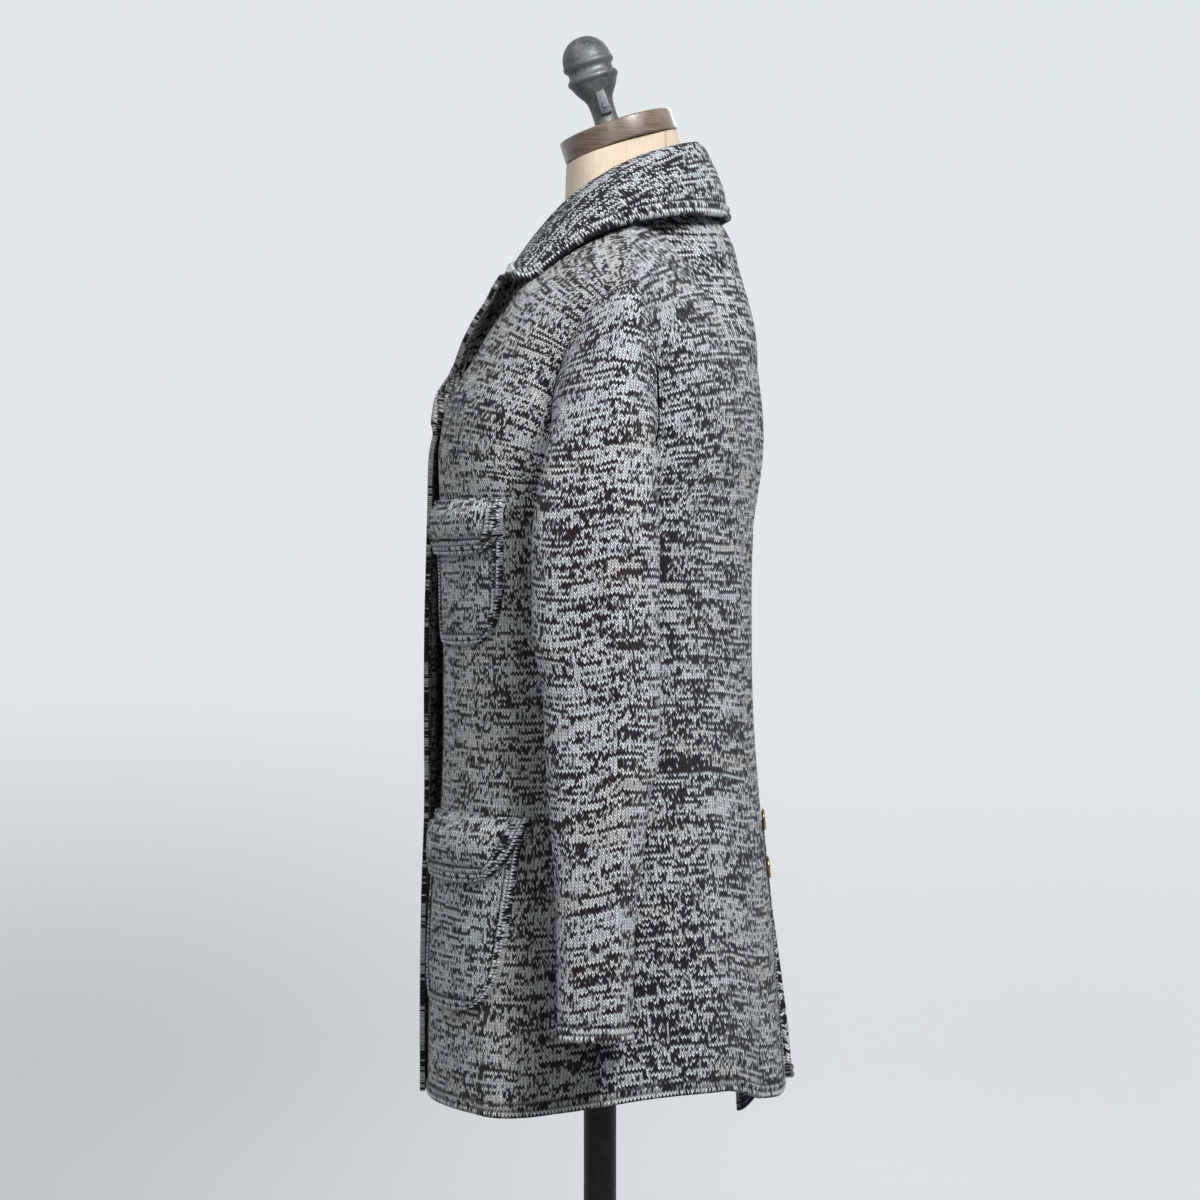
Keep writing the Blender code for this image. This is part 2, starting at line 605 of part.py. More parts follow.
def seam_lean(front, share):
    """Direction across the armhole seam, shared by the panels and the sleeve."""
    round_hole = math.pi * np.asarray(share, float)
    y = np.sin(round_hole) * (-1 if front else 1)
    z = -np.cos(round_hole)
    everywhere, ends, foot = SHOULDER_TILT
    x = everywhere + ends * (1 - np.abs(y)) + foot * np.clip(-z, 0, 1) ** 4
    return unit(np.stack(np.broadcast_arrays(x, y, z), axis=-1))


def neck_lean(path):
    """Direction across the neck seam, shared by the panels and the collar."""
    along = np.gradient(path, axis=0)
    away = np.stack((-along[:, 1], along[:, 0], np.zeros(len(path))), axis=1)
    return unit(unit(away) + np.array((0, 0, NECK_TILT)))


def neckline():
    """The neck seam of the left half, from centre back round to the lapel."""
    back = smooth(BACK_NECK, np.array([c for c in BACK_COLUMNS if c <= BACK_NECK_SHARE]))
    rows = [row for row in FRONT_YOKE_ROWS if row >= GORGE]
    front = smooth(FRONT_OPENING, np.array(rows[-2::-1]))
    return np.concatenate((back, front))


def border(distance, width):
    """Height of the rounded border along an edge, as a share of its full rise."""
    inside = np.clip(distance / width, 0, 1)
    return np.where(inside < 1, 0.55 + 0.45 * np.sin(np.pi * np.clip(inside * 1.15, 0, 1)), 0.0)


def front(side, over):
    """One front with its folded-out lapel, as outer and inner grids."""
    courses = np.array(LOWER_ROWS + tuple(LOWER_COURSES + YOKE_COURSES * r
                                          for r in FRONT_YOKE_ROWS))
    wales = ROLL_WALE + (FRONT_WIDTH - ROLL_WALE) * np.array(FRONT_COLUMNS)
    main = front_surface(courses[:, None], wales[None, :], over)
    roll = main[:, 0]
    yoke = np.clip((courses - LOWER_COURSES) / YOKE_COURSES, 0, 1)
    axes = unit(np.gradient(roll, axis=0))
    inward = unit(roll - main[:, 1])
    widths = smooth_value(LAPEL_WIDTH, opened(yoke, over))
    turned = np.radians(smooth_value(LAPEL_FOLD, opened(yoke, over)))
    strip = []
    for row in range(len(courses)):
        distances = strip_distances(widths[row])
        points = lapel_strip(roll[row], inward[row], axes[row], turned[row], distances)
        strip.append(points[::-1])
    points = np.concatenate((np.array(strip), main), axis=1)
    keep = np.ones((len(courses) - 1, points.shape[1] - 1), bool)
    gorge_course = LOWER_COURSES + YOKE_COURSES * GORGE
    keep[courses[:-1] >= gorge_course - 1e-6, :STRIP_CELLS] = False

    facing_out = grid_normals(points, keep=keep)
    above = courses >= LOWER_COURSES - 1e-6
    across = facing_out.copy()
    across[~above, -1] = (1, 0, 0)
    across[above, -1] = seam_lean(True, yoke[above])
    shoulder = SHOULDER_TIP - SHOULDER_NECK
    across[-1, STRIP_CELLS:] = unit(np.array((-shoulder[2], 0, shoulder[0])))
    necks = neck_lean(neckline())[::-1]
    rows = courses >= gorge_course - 1e-6
    count = int(rows.sum())
    across[rows, STRIP_CELLS] = necks[:count]
    points[-1, STRIP_CELLS:, 1] -= SEAM / 2

    distances = np.array([[width - d for d in strip_distances(width)[::-1]] + [width]
                          for width in widths])
    edge = np.zeros(points.shape[:2])
    edge[:, :STRIP_CELLS + 1] = border(distances, EDGE_TRIM)
    hem = border(courses, HEM_TRIM)[:, None]
    rise = np.maximum(edge, hem) * TRIM_RISE
    folded = (turned > math.radians(60))[:, None] & (np.arange(points.shape[1]) < STRIP_CELLS)
    outer = points + facing_out * np.where(folded, 0, rise)[..., None]
    inner = points - across * CLOTH - facing_out * np.where(folded, rise, 0)[..., None]
    return mirrored(outer, side), mirrored(inner, side), keep


def back(side, over):
    """One back; the upper one ends at the vent's edge, the lower one has the strip behind it."""
    courses = np.array(LOWER_ROWS + tuple(LOWER_COURSES + YOKE_COURSES * r
                                          for r in BACK_YOKE_ROWS))
    wales = BACK_WIDTH * np.array(BACK_COLUMNS)
    panel = "back_left" if side > 0 else "back_right"
    points = back_surface(courses[:, None], wales[None, :], panel)
    points[:, 0, 0] = SEAM / 2
    open_vent = ease((VENT_TOP - courses) / VENT_TOP)
    parted = ease((VENT_TOP - courses) / 0.006)
    near = bump(wales / VENT_SWELL_WIDTH)
    if over:
        opening_out = VENT_PARTING * parted + VENT_SPREAD * open_vent
        points[:, 0, 0] += opening_out
        points[:, 1, 0] += opening_out * 0.6
    else:
        points[..., 1] += VENT_SWELL * open_vent[:, None] * near[None, :]
    keep = None
    facing_out = grid_normals(points, flip=True)
    across = facing_out.copy()
    yoke = np.clip((courses - LOWER_COURSES) / YOKE_COURSES, 0, 1)
    above = courses >= LOWER_COURSES - 1e-6
    across[~above, -1] = (1, 0, 0)
    across[above, -1] = seam_lean(False, yoke[above])
    shoulder = SHOULDER_TIP - SHOULDER_NECK
    on_shoulder = np.array(BACK_COLUMNS) > BACK_NECK_SHARE - 1e-6
    necks = neck_lean(neckline())
    across[-1, ~on_shoulder] = necks[:int((~on_shoulder).sum())]
    across[:, 0] = unit(across[:, 0] * (0, 1, 1))
    across[-1, on_shoulder] = unit(np.array((-shoulder[2], 0, shoulder[0])))
    points[-1, on_shoulder, 1] += SEAM / 2

    edge = border(wales, EDGE_TRIM)[None, :] * (courses < VENT_TOP - 0.001)[:, None]
    hem = border(courses, HEM_TRIM)[:, None]
    rise = np.maximum(edge if over else 0 * edge, hem) * TRIM_RISE
    outer = points + facing_out * rise[..., None]
    inner = points - across * CLOTH
    if not over:
        outer, inner, keep = with_underlap(outer, inner, points, courses, open_vent)
    return mirrored(outer, side), mirrored(inner, side), keep


def with_underlap(outer, inner, points, courses, open_vent):
    """Add the strip that runs on past the centre seam, behind the other back."""
    spare = np.zeros((len(courses), len(UNDERLAP_DISTANCES), 3))
    for row, amount in enumerate(open_vent):
        swing = math.radians(UNDERLAP_SWING[0] + UNDERLAP_SWING[1] * amount)
        tuck = UNDERLAP_TUCK[0] + UNDERLAP_TUCK[1] * amount
        for column, distance in enumerate(UNDERLAP_DISTANCES):
            tucked = tuck * ease(distance / (UNDERLAP_TUCK[0] + 0.004 * amount))
            start = points[row, 0]
            spare[row, column] = (start[0] - distance * math.cos(swing),
                                  start[1] - distance * math.sin(swing) - tucked,
                                  start[2] - UNDERLAP_DROP * amount * ease(distance / UNDERLAP))
    joined = np.concatenate((spare, points), axis=1)
    keep = np.ones((len(courses) - 1, joined.shape[1] - 1), bool)
    keep[courses[1:] > VENT_TOP - 0.005, :len(UNDERLAP_DISTANCES)] = False
    facing_out = grid_normals(joined, keep=keep, flip=True)
    strips = len(UNDERLAP_DISTANCES)
    outer = np.concatenate((spare, outer), axis=1)
    inner = np.concatenate((spare - facing_out[:, :strips] * CLOTH, inner), axis=1)
    low = courses < VENT_TOP - 0.005
    inner[low, strips] = joined[low, strips] - facing_out[low, strips] * CLOTH
    return outer, inner, keep


# ---------------------------------------------------------------- sleeves
def sleeve_ring(height, angle):
    """Outer face of the hanging sleeve: angle 0 is next to the body, a quarter turn the front."""
    middle_x, half_x, middle_y, half_y = np.moveaxis(smooth(SLEEVE, height), -1, 0)
    cosine = np.cos(angle)
    sine = np.sin(angle)
    x = middle_x - half_x * np.sign(cosine) * np.abs(cosine) ** SLEEVE_SQUARENESS
    y = middle_y - half_y * np.sign(sine) * np.abs(sine) ** SLEEVE_SQUARENESS
    ridge = bump((y - smooth_value(SLEEVE_RIDGE, height)) / RIDGE_WIDTH) * (cosine < 0)
    return np.stack(np.broadcast_arrays(x + RIDGE_RISE * ridge, y, height), axis=-1)


def armhole(shares, is_front):
    """Seam points, seam directions and the directions in which the sleeve sets off."""
    table = FRONT_ARMHOLE if is_front else BACK_ARMHOLE
    points = smooth(table, shares)
    step = 0.004
    along = unit(smooth(table, np.clip(shares + step, 0, 1))
                 - smooth(table, np.clip(shares - step, 0, 1)))
    across = seam_lean(is_front, shares)
    away = unit(np.cross(across, along)) * (-1 if is_front else 1)
    return points, across, away


def sleeve(side):
    """One sleeve: a cap from the armhole to the hanging tube, which ends at an open cuff."""
    rows_front = np.array((0.0,) + FRONT_YOKE_ROWS)
    rows_back = np.array(BACK_YOKE_ROWS[-2::-1])
    parts = (armhole(rows_front, True), armhole(rows_back, False))
    start, across, away = (np.concatenate(pair) for pair in zip(*parts))
    round_front = math.pi * rows_front
    round_back = math.tau - math.pi * rows_back
    angles = np.concatenate((round_front, round_back))
    start = start + away * (SEAM + 0.0001)
    end = sleeve_ring(np.full(len(angles), SLEEVE_JOIN), angles)
    reach = np.linalg.norm(end - start, axis=1)[:, None]
    leave = away * reach * SLEEVE_SETTING_OFF
    arrive = np.array((0, 0, -1.0)) * reach * SLEEVE_HANGING
    grid = []
    for part in SLEEVE_CAP_ROWS:
        square = part * part
        cube = square * part
        grid.append(start * (2 * cube - 3 * square + 1) + end * (3 * square - 2 * cube)
                    + leave * (cube - 2 * square + part) + arrive * (cube - square))
    for height in SLEEVE_ROWS:
        grid.append(sleeve_ring(np.full(len(angles), height), angles))
    points = np.array(grid)
    facing_out = grid_normals(points, closed=True, flip=True)
    inward = facing_out.copy()
    inward[0] = across
    return mirrored(points, side), mirrored(points - inward * CLOTH, side)


# ---------------------------------------------------------------- collar
def collar():
    """The whole collar: a stand up from the neck seam, folded over into the fall."""
    seam = neckline()
    across = neck_lean(seam)
    steps = np.linalg.norm(np.diff(seam, axis=0), axis=1)
    run = np.concatenate(([0.0], np.cumsum(steps)))
    shoulder = len([c for c in BACK_COLUMNS if c <= BACK_NECK_SHARE]) - 1
    share = np.where(run <= run[shoulder], run / run[shoulder] * COLLAR_FRONT_SHARE,
                     COLLAR_FRONT_SHARE + (run - run[shoulder]) / (run[-1] - run[shoulder])
                     * (1 - COLLAR_FRONT_SHARE))
    fold = smooth(COLLAR_FOLD, share)
    edge = smooth(COLLAR_EDGE, share)
    columns = []
    for index in range(len(seam)):
        away = across[index] * np.array((1, 1, 0))
        away = away / np.linalg.norm(away)
        raised = COLLAR_FOOT + COLLAR_FOOT_FRONT * share[index] ** 6
        foot = seam[index] + np.array((0, 0, raised)) - across[index] * CLOTH
        top = fold[index]
        drop = np.array((0, 0, COLLAR_ROLL))
        near = top - away * COLLAR_ROLL - drop
        far = top + away * COLLAR_ROLL - drop * 0.8
        swell = (away + np.array((0, 0, 0.6))) * COLLAR_BELLY
        belly = far * 0.45 + edge[index] * 0.55 + swell
        controls = (foot, foot * 0.5 + near * 0.5 - away * 0.0006, near, top, far, belly,
                    edge[index])
        columns.append(spline(controls, COLLAR_ROWS))
    half = np.array(columns)
    whole = np.concatenate((mirrored(half[:0:-1], -1), half))
    points = np.swapaxes(whole, 0, 1)
    facing_out = grid_normals(points, flip=False)
    lean = np.concatenate((mirrored(across[:0:-1], -1), across))
    length = np.array(COLLAR_ROWS)
    rise = np.where(length > 0.90, TRIM_RISE * (0.6 + 0.4 * (length > 0.93)), 0.0)
    rise = np.where(length > 0.99, TRIM_RISE * 0.5, rise)[:, None]
    outer = points + facing_out * rise[..., None]
    inner = points - facing_out * CLOTH
    inner[0] = points[0] + lean * CLOTH
    return outer, inner


def spline(controls, shares):
    """Points at shares of the length of a smooth curve through a few points."""
    controls = np.asarray(controls, float)
    steps = np.sqrt(np.linalg.norm(np.diff(controls, axis=0), axis=1))
    keys = np.concatenate(([0.0], np.cumsum(steps)))
    table = np.concatenate((keys[:, None], controls), axis=1)
    fine = smooth(table, np.linspace(0, keys[-1], 120))
    return resample(fine, shares)


# ---------------------------------------------------------------- pockets and flaps
def patch_grid(row):
    """Courses, wales and distances from the edge for a piece with two round lower corners."""
    name, start, end, top, bottom, taper, radius = row
    is_flap = "flap" in name
    columns = np.array((-1, -0.86, -0.62, -0.21, 0.21, 0.62, 0.86, 1.0))
    height = top - bottom
    levels = (0, 0.25, 0.52, 0.72, 0.86, 1.0) if is_flap else (0, 0.22, 0.44, 0.63, 0.78, 0.89,
                                                               0.95, 1.0)
    down = np.array(levels) * height
    half = (end - start) / 2 * (1 - taper * down / height)
    into = np.clip((down - (height - radius)) / radius, 0, 1)
    half = half - radius * (1 - np.sqrt(1 - into ** 2 * 0.97)) * 0.9
    middle = (start + end) / 2 - (end - start) / 2 * taper * down / height * 0.5
    wales = middle[:, None] + half[:, None] * columns[None, :]
    bow = CORNER_BOW * radius * (1 - columns[None, :] ** 2) * into[:, None]
    courses = (top - down)[:, None] - bow
    from_side = half[:, None] * (1 - np.abs(columns))[None, :]
    from_bottom = (height - down)[:, None] + 0 * from_side
    distance = np.minimum(from_side, from_bottom)
    return courses, wales, distance, down / height


def laid_piece(row, side, over):
    """A pocket or flap laid on a front, as outer and inner grids."""
    courses, wales, distance, down = patch_grid(row)
    base = front_surface(courses, wales, over)
    out = facing(lambda c, w: front_surface(c, w, over), courses, wales, 1)
    if "flap" in row[0]:
        lift = smooth_value(FLAP_LIFTS, down)[:, None]
    else:
        lift = LAID + POCKET_SWELL * ease(distance / POCKET_SWELL_WIDTH)
    rise = TRIM_RISE * border(distance, POCKET_TRIM)
    outer = base + out * (lift + CLOTH + rise)[..., None]
    inner = base + out * (lift + 0 * distance)[..., None]
    return mirrored(outer[::-1], side), mirrored(inner[::-1], side)


# ---------------------------------------------------------------- buttons
def button(node, place, facing_out):
    """A turned button with a rounded rim and a dished face, laid along its own axis."""
    radius = BUTTON_RADIUS
    thick = BUTTON_THICKNESS
    profile = ((0.0, radius * 0.70), (thick * 0.50, radius), (thick, radius * 0.84))
    made = lathe(node, profile, "brass", sides=14)
    away = facing_out / np.linalg.norm(facing_out)
    made.location = place
    made.rotation_euler = (math.acos(away[2]), 0, math.atan2(away[0], -away[1]))
    return made


# ---------------------------------------------------------------- the dress form
def form_ring(row, angles):
    """One ring of the form, tipped so that its front is lower than its back."""
    height, width, front_depth, back_depth, tip = row
    cosine = np.cos(angles)
    x = width * np.sin(angles)
    y = np.where(cosine > 0, -front_depth * cosine, -back_depth * cosine)
    middle = (back_depth - front_depth) / 2
    z = height + tip * (y - middle) / (back_depth + front_depth)
    return np.stack((x, y, z), axis=1)


def rested(cloth, figure):
    """Draw a figure's rings in wherever the cloth would otherwise cut into them."""
    trees = [BVHTree.FromObject(piece, bpy.context.evaluated_depsgraph_get()) for piece in cloth]
    half_turn = figure.shape[1] // 2
    shares = np.ones(figure.shape[:2])
    for row, ring_points in enumerate(figure):
        middle = (ring_points[0] + ring_points[half_turn]) / 2
        for column, point in enumerate(ring_points):
            axis = np.array((0.0, middle[1], point[2]))
            length = np.linalg.norm(point - axis)
            hits = [tree.ray_cast(axis, (point - axis) / length)[3] for tree in trees]
            room = min([hit for hit in hits if hit is not None], default=1.0)
            shares[row, column] = min(1.0, (room - FORM_CLEARANCE) / length)
    padded = np.pad(shares, ((1, 1), (0, 0)), mode="edge")
    lowest = np.minimum(np.minimum(padded[:-2], padded[1:-1]), padded[2:])
    lowest = np.minimum(np.minimum(np.roll(lowest, 1, 1), lowest), np.roll(lowest, -1, 1))
    middles = (figure[:, 0] + figure[:, half_turn]) / 2
    axes = np.stack((np.zeros_like(shares), middles[:, 1:2] + 0 * shares, figure[..., 2]), axis=-1)
    return (axes + (figure - axes) * lowest[..., None])[::2, ::2]


def form_torso(cloth):
    """The padded body of the form, drawn in wherever the cloth rests on it."""
    levels = np.concatenate(((POLE_TOP, 0.712), np.linspace(0.77, 1.19, 7),
                             np.linspace(1.235, 1.315, 5), np.linspace(1.328, 1.392, 9),
                             np.linspace(1.410, 1.4455, 3)))
    finer = np.interp(np.arange(2 * len(levels) - 1) / 2, np.arange(len(levels)), levels)
    angles = np.arange(2 * FORM_SIDES) * math.tau / (2 * FORM_SIDES)
    figure = np.array([form_ring((level, *smooth(FORM, level)), angles) for level in finer])
    points = rested(cloth, figure)
    mesh_data = bmesh.new()
    loops = [[mesh_data.verts.new(point) for point in ring_points] for ring_points in points]
    for low, high in zip(loops, loops[1:]):
        for index in range(FORM_SIDES):
            after = (index + 1) % FORM_SIDES
            mesh_data.faces.new((low[index], low[after], high[after], high[index]))
    mesh_data.faces.new(loops[0])
    mesh_data.faces.new(loops[-1])
    bmesh.ops.recalc_face_normals(mesh_data, faces=mesh_data.faces)
    return keep_object("form_torso", mesh_data, "linen")


def build_stand():
    """Neck cap, finial, pole and round foot."""
    edge = NECK_CAP_BEVEL
    half = NECK_CAP_THICKNESS / 2
    radius = NECK_CAP_RADIUS
    cap = ((-half, radius - edge), (-half + edge, radius), (half - edge, radius),
           (half, radius - edge))
    lathe("neck_cap", cap, "wood", NECK_CAP_MIDDLE, NECK_LEAN, sides=28)
    up = np.array((0, -math.sin(NECK_LEAN), math.cos(NECK_LEAN)))
    forward = np.array((0, math.cos(NECK_LEAN), math.sin(NECK_LEAN)))
    seat_point = np.array(NECK_CAP_MIDDLE) + up * (half + SEAM) + forward * FINIAL_AT
    lathe("finial", FINIAL, "pewter", seat_point, NECK_LEAN, sides=12)
    pole = ((FOOT_THICKNESS + SEAM, POLE_RADIUS), (POLE_TOP - SEAM, POLE_RADIUS))
    lathe("pole", pole, "iron", sides=20)
    foot = ((0.0, FOOT_RADIUS - 0.002), (0.003, FOOT_RADIUS), (0.010, FOOT_RADIUS),
            (0.014, FOOT_RADIUS - 0.006), (FOOT_THICKNESS, 0.045))
    lathe("foot", foot, "iron", sides=32)


def seat(surface, course, wale):
    """Middle and outward direction of the flat place that a button covers on a panel."""
    reach = BUTTON_RADIUS
    corners = surface(course + np.array((0, 0, -reach, reach)), wale + np.array((-reach, reach, 0, 0)))
    away = unit(np.cross(corners[1] - corners[0], corners[3] - corners[2]))
    return corners[:2].mean(axis=0), away


def build_buttons():
    """Buttons down the upper front and at the top of the back vent."""
    for number, course in enumerate(FRONT_BUTTONS, 1):
        place, away = seat(lambda c, w: front_surface(c, w, True), course, FRONT_BUTTON_WALE)
        button(f"front_button_{number}", mirrored(place + away * BUTTON_GAP, -1), mirrored(away, -1))
    for number, course in enumerate(VENT_BUTTONS, 1):
        place, away = seat(lambda c, w: back_surface(c, w, "back_left"), course, VENT_BUTTON_WALE)
        button(f"vent_button_{number}", place - away * BUTTON_GAP, -away)


def build():
    """Make every piece."""
    for old in list(bpy.data.objects):
        bpy.data.objects.remove(old, do_unlink=True)
    cloth = []
    for side, name in ((1, "left"), (-1, "right")):
        over = side < 0
        outer, inner, keep = front(side, over)
        cloth.append(wall("front_" + name, outer, inner, "knit", keep=keep, flip=side < 0))
        outer, inner, keep = back(side, side > 0)
        cloth.append(wall("back_" + name, outer, inner, "knit", keep=keep, flip=side > 0))
        outer, inner = sleeve(side)
        wall("sleeve_" + name, outer, inner, "knit", closed=True, flip=side > 0)
        for row in POCKETS + FLAPS:
            outer, inner = laid_piece(row, side, over)
            wall(row[0] + "_" + name, outer, inner, "knit", flip=side < 0)
    outer, inner = collar()
    cloth.append(wall("collar", outer, inner, "knit"))
    build_buttons()
    form_torso(cloth)
    build_stand()


build()
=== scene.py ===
"""Looks of the notched collar cardigan on its dress form.

Every knitted piece is a fine shell on the form of its solid. Its points are worked out from courses
(rows of stitches, counted up from the hem) and wales (columns of stitches, counted round from the
centre line), both in metres. The front faces -Y and the wearer's left is +X. The knit itself is a
pattern of stitches that follows the distances along each piece, kept in its map "Stitches"; its map
"Border" holds the run along an edge and the distance from it, for the knitted borders.
"""

import json
import math

import bmesh
import bpy
import numpy as np
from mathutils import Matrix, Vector
from mathutils.bvhtree import BVHTree

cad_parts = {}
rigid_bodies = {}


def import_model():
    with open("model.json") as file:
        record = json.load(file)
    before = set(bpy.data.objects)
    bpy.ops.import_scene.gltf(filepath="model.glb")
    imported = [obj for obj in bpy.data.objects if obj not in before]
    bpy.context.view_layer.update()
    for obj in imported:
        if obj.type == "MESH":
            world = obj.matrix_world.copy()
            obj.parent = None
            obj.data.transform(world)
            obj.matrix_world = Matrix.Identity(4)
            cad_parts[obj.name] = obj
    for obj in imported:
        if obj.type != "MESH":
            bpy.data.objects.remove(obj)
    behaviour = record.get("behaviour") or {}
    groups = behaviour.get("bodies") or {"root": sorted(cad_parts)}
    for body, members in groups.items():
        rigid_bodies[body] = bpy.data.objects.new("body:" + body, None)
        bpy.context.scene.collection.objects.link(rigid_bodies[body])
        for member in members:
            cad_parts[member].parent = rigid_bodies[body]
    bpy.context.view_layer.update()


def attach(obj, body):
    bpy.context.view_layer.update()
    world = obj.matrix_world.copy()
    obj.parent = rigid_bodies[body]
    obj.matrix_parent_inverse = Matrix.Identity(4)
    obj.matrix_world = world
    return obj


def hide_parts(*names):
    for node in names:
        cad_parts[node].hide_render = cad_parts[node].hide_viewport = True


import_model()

# ---------------------------------------------------------------- sizes of the cardigan, metres
CLOTH = 0.0026
SEAM = 0.0003
LAID = 0.0008
SEAM_DIP = -0.0007
SEAM_DIP_REACH = 0.0022
TRIM_RISE = 0.0018
TRIM_LOW = 0.25                 # height between two ribs, as a share of the rise
GROOVE = -0.50                  # depth of the groove behind a border, as a share of the rise
GROOVE_AT = 0.0010
GROOVE_REACH = 0.0014
HEM_TRIM = 0.012
EDGE_TRIM = 0.011
POCKET_TRIM = 0.009
FLAP_TRIM = 0.0126
COLLAR_TRIM = 0.0130
UNDERARM = 1.140
LOWER_COURSES = 0.508
YOKE_COURSES = 0.250
YOKE_LEVEL = 0.62               # share by which the rows of the back's yoke are drawn level
BUTTON_LAP = 0.020
LAP_PAST = 0.003
LAP_FADE = 0.060
CURL_FROM = 0.006
CURL_REACH = 0.024
ROLL_WALE = -0.008
GORGE = 0.81                    # share of the yoke at which the lapel ends
LAPEL_ROLL = 0.0024
LAPEL_AIM = 0.019
LAPEL_TURNED = math.radians(60)
VENT_TOP = 0.230
VENT_PARTED = 0.0036
VENT_SPREAD = 0.0060
VENT_SINK = 0.0085
VENT_EDGE = 0.014
VENT_PARTS_OVER = 0.006
SINK_WIDTH = 0.035
UNDERLAP = 0.043
UNDERLAP_FROM = 0.005
UNDERLAP_TUCK = 0.0048
UNDERLAP_SWING = (6, 46)        # degrees: at the vent's top, and more at the hem
UNDERLAP_DROP = 0.025
SQUARENESS = 0.86
ARMHOLE_HOLD = 3.0
FRONT_HOLD = 1.7
BACK_HOLD = 2.4
GIRTH_HEIGHT = 1.000
SLEEVE_JOIN = 1.100
SLEEVE_ROUNDNESS = 0.92
SLEEVE_SEAM = SEAM + 0.0001
CAP_LEAVES = 0.62               # how strongly the cap sets off from the armhole
CAP_ARRIVES = 1.05              # how strongly it comes down into the tube
RIDGE_RISE = 0.0030
RIDGE_WIDTH = 0.020
RIDGE_LINE = 0.0014
RIDGE_LINE_WIDTH = 0.0065
RIDGE_TOP = 1.27
RIDGE_FADE = 0.10
SLANT_FRONT = -0.25
SLANT_BACK = 0.08
COLLAR_FRONT_SHARE = 0.42
COLLAR_ROLL = 0.0052
COLLAR_CORNER = 0.024
COLLAR_FALL = 0.56              # share of the collar's depth at which the fall starts
COLLAR_BELLY = 0.0030
BACK_NECK_SHARE = 0.41
EARLY_OPENING = 0.085
FAR = 1.0                       # further from an edge than any border reaches
TINY = 1e-6

# rows and columns of the shells: how closely they lie
FINE_ROW = 0.0013
PAST_BORDER = 0.0145
ROW = 0.005
FINE_COLUMN = 0.0015
COLUMN = 0.0042
BY_SEAM = 0.006
OFF_SEAM = 0.002
LAPEL_COLUMNS = np.array((0.04, 0.08, 0.12, 0.16, 0.21, 0.28, 0.36, 0.45, 0.54, 0.62, 0.69, 0.75,
                          0.80, 0.85, 0.90, 0.95, 1.0))      # shares of the lapel's width

BODY = (
    # height, half width, front depth, back depth
    (0.615, 0.2060, 0.1465, 0.1590),
    (0.700, 0.2035, 0.1460, 0.1530),
    (0.800, 0.1980, 0.1420, 0.1450),
    (0.885, 0.1900, 0.1355, 0.1365),
    (0.960, 0.1825, 0.1335, 0.1310),
    (1.060, 0.1785, 0.1335, 0.1295),
    (1.140, 0.1820, 0.1365, 0.1315),
    (1.220, 0.1860, 0.1385, 0.1345),
)
HEM = (
    # degrees round from centre front, height of the hem there
    (-20, 0.641), (0, 0.641), (30, 0.643), (60, 0.642), (80, 0.648), (100, 0.659),
    (125, 0.662), (150, 0.648), (170, 0.645), (180, 0.650), (200, 0.648),
)
LAP_LIFT = (
    # course, how far the upper front stands off the body, how much more its edge curls out
    (0.000, 0.0052, 0.0000), (0.080, 0.0056, 0.0008), (0.150, 0.0064, 0.0022),
    (0.250, 0.0086, 0.0046), (0.330, 0.0100, 0.0054), (0.430, 0.0092, 0.0052),
    (0.508, 0.0062, 0.0030), (0.560, 0.0050, 0.0012), (0.620, 0.0030, 0.0000),
    (0.700, 0.0000, 0.0000),
)
FRONT_OPENING = (
    # share of the yoke, x, y, z of the line on which the lapel rolls, then of the neckline
    (0.00, -0.0080, -0.1365, 1.1400),
    (0.16, -0.0080, -0.1378, 1.1790),
    (0.26, -0.0035, -0.1352, 1.2030),
    (0.33, 0.0038, -0.1308, 1.2205),
    (0.40, 0.0090, -0.1235, 1.2376),
    (0.50, 0.0170, -0.1090, 1.2620),
    (0.60, 0.0262, -0.0950, 1.2864),
    (0.70, 0.0358, -0.0793, 1.3108),
    (0.81, 0.0455, -0.0610, 1.3370),
    (0.87, 0.0550, -0.0370, 1.3550),
    (0.94, 0.0630, -0.0050, 1.3725),
    (1.00, 0.0670, 0.0260, 1.3840),
)
BACK_CENTRE = (
    # share of the yoke, x, y, z of the seam down the middle of the back
    (0.00, 0.0, 0.1315, 1.1400),
    (0.25, 0.0, 0.1342, 1.2030),
    (0.50, 0.0, 0.1350, 1.2650),
    (0.58, 0.0, 0.1338, 1.2850),
    (0.66, 0.0, 0.1300, 1.3050),
    (0.74, 0.0, 0.1245, 1.3250),
    (0.82, 0.0, 0.1190, 1.3450),
    (0.90, 0.0, 0.1140, 1.3640),
    (0.96, 0.0, 0.1050, 1.3800),
    (1.00, 0.0, 0.0950, 1.3900),
)
FRONT_ARMHOLE = (
    # share of the yoke, x, y, z
    (0.00, 0.1820, 0.0000, 1.1400),
    (0.12, 0.1765, -0.0240, 1.1500),
    (0.25, 0.1710, -0.0370, 1.1720),
    (0.42, 0.1680, -0.0400, 1.2080),
    (0.60, 0.1700, -0.0330, 1.2460),
    (0.78, 0.1790, -0.0180, 1.2800),
    (0.90, 0.1895, 0.0030, 1.3040),
    (1.00, 0.2000, 0.0260, 1.3180),
)
BACK_ARMHOLE = (
    # share of the yoke, x, y, z
    (0.00, 0.1820, 0.0000, 1.1400),
    (0.12, 0.1780, 0.0260, 1.1500),
    (0.25, 0.1740, 0.0410, 1.1720),
    (0.42, 0.1715, 0.0480, 1.2080),
    (0.60, 0.1735, 0.0470, 1.2460),
    (0.78, 0.1815, 0.0420, 1.2800),
    (0.90, 0.1910, 0.0350, 1.3040),
    (1.00, 0.2000, 0.0260, 1.3180),
)
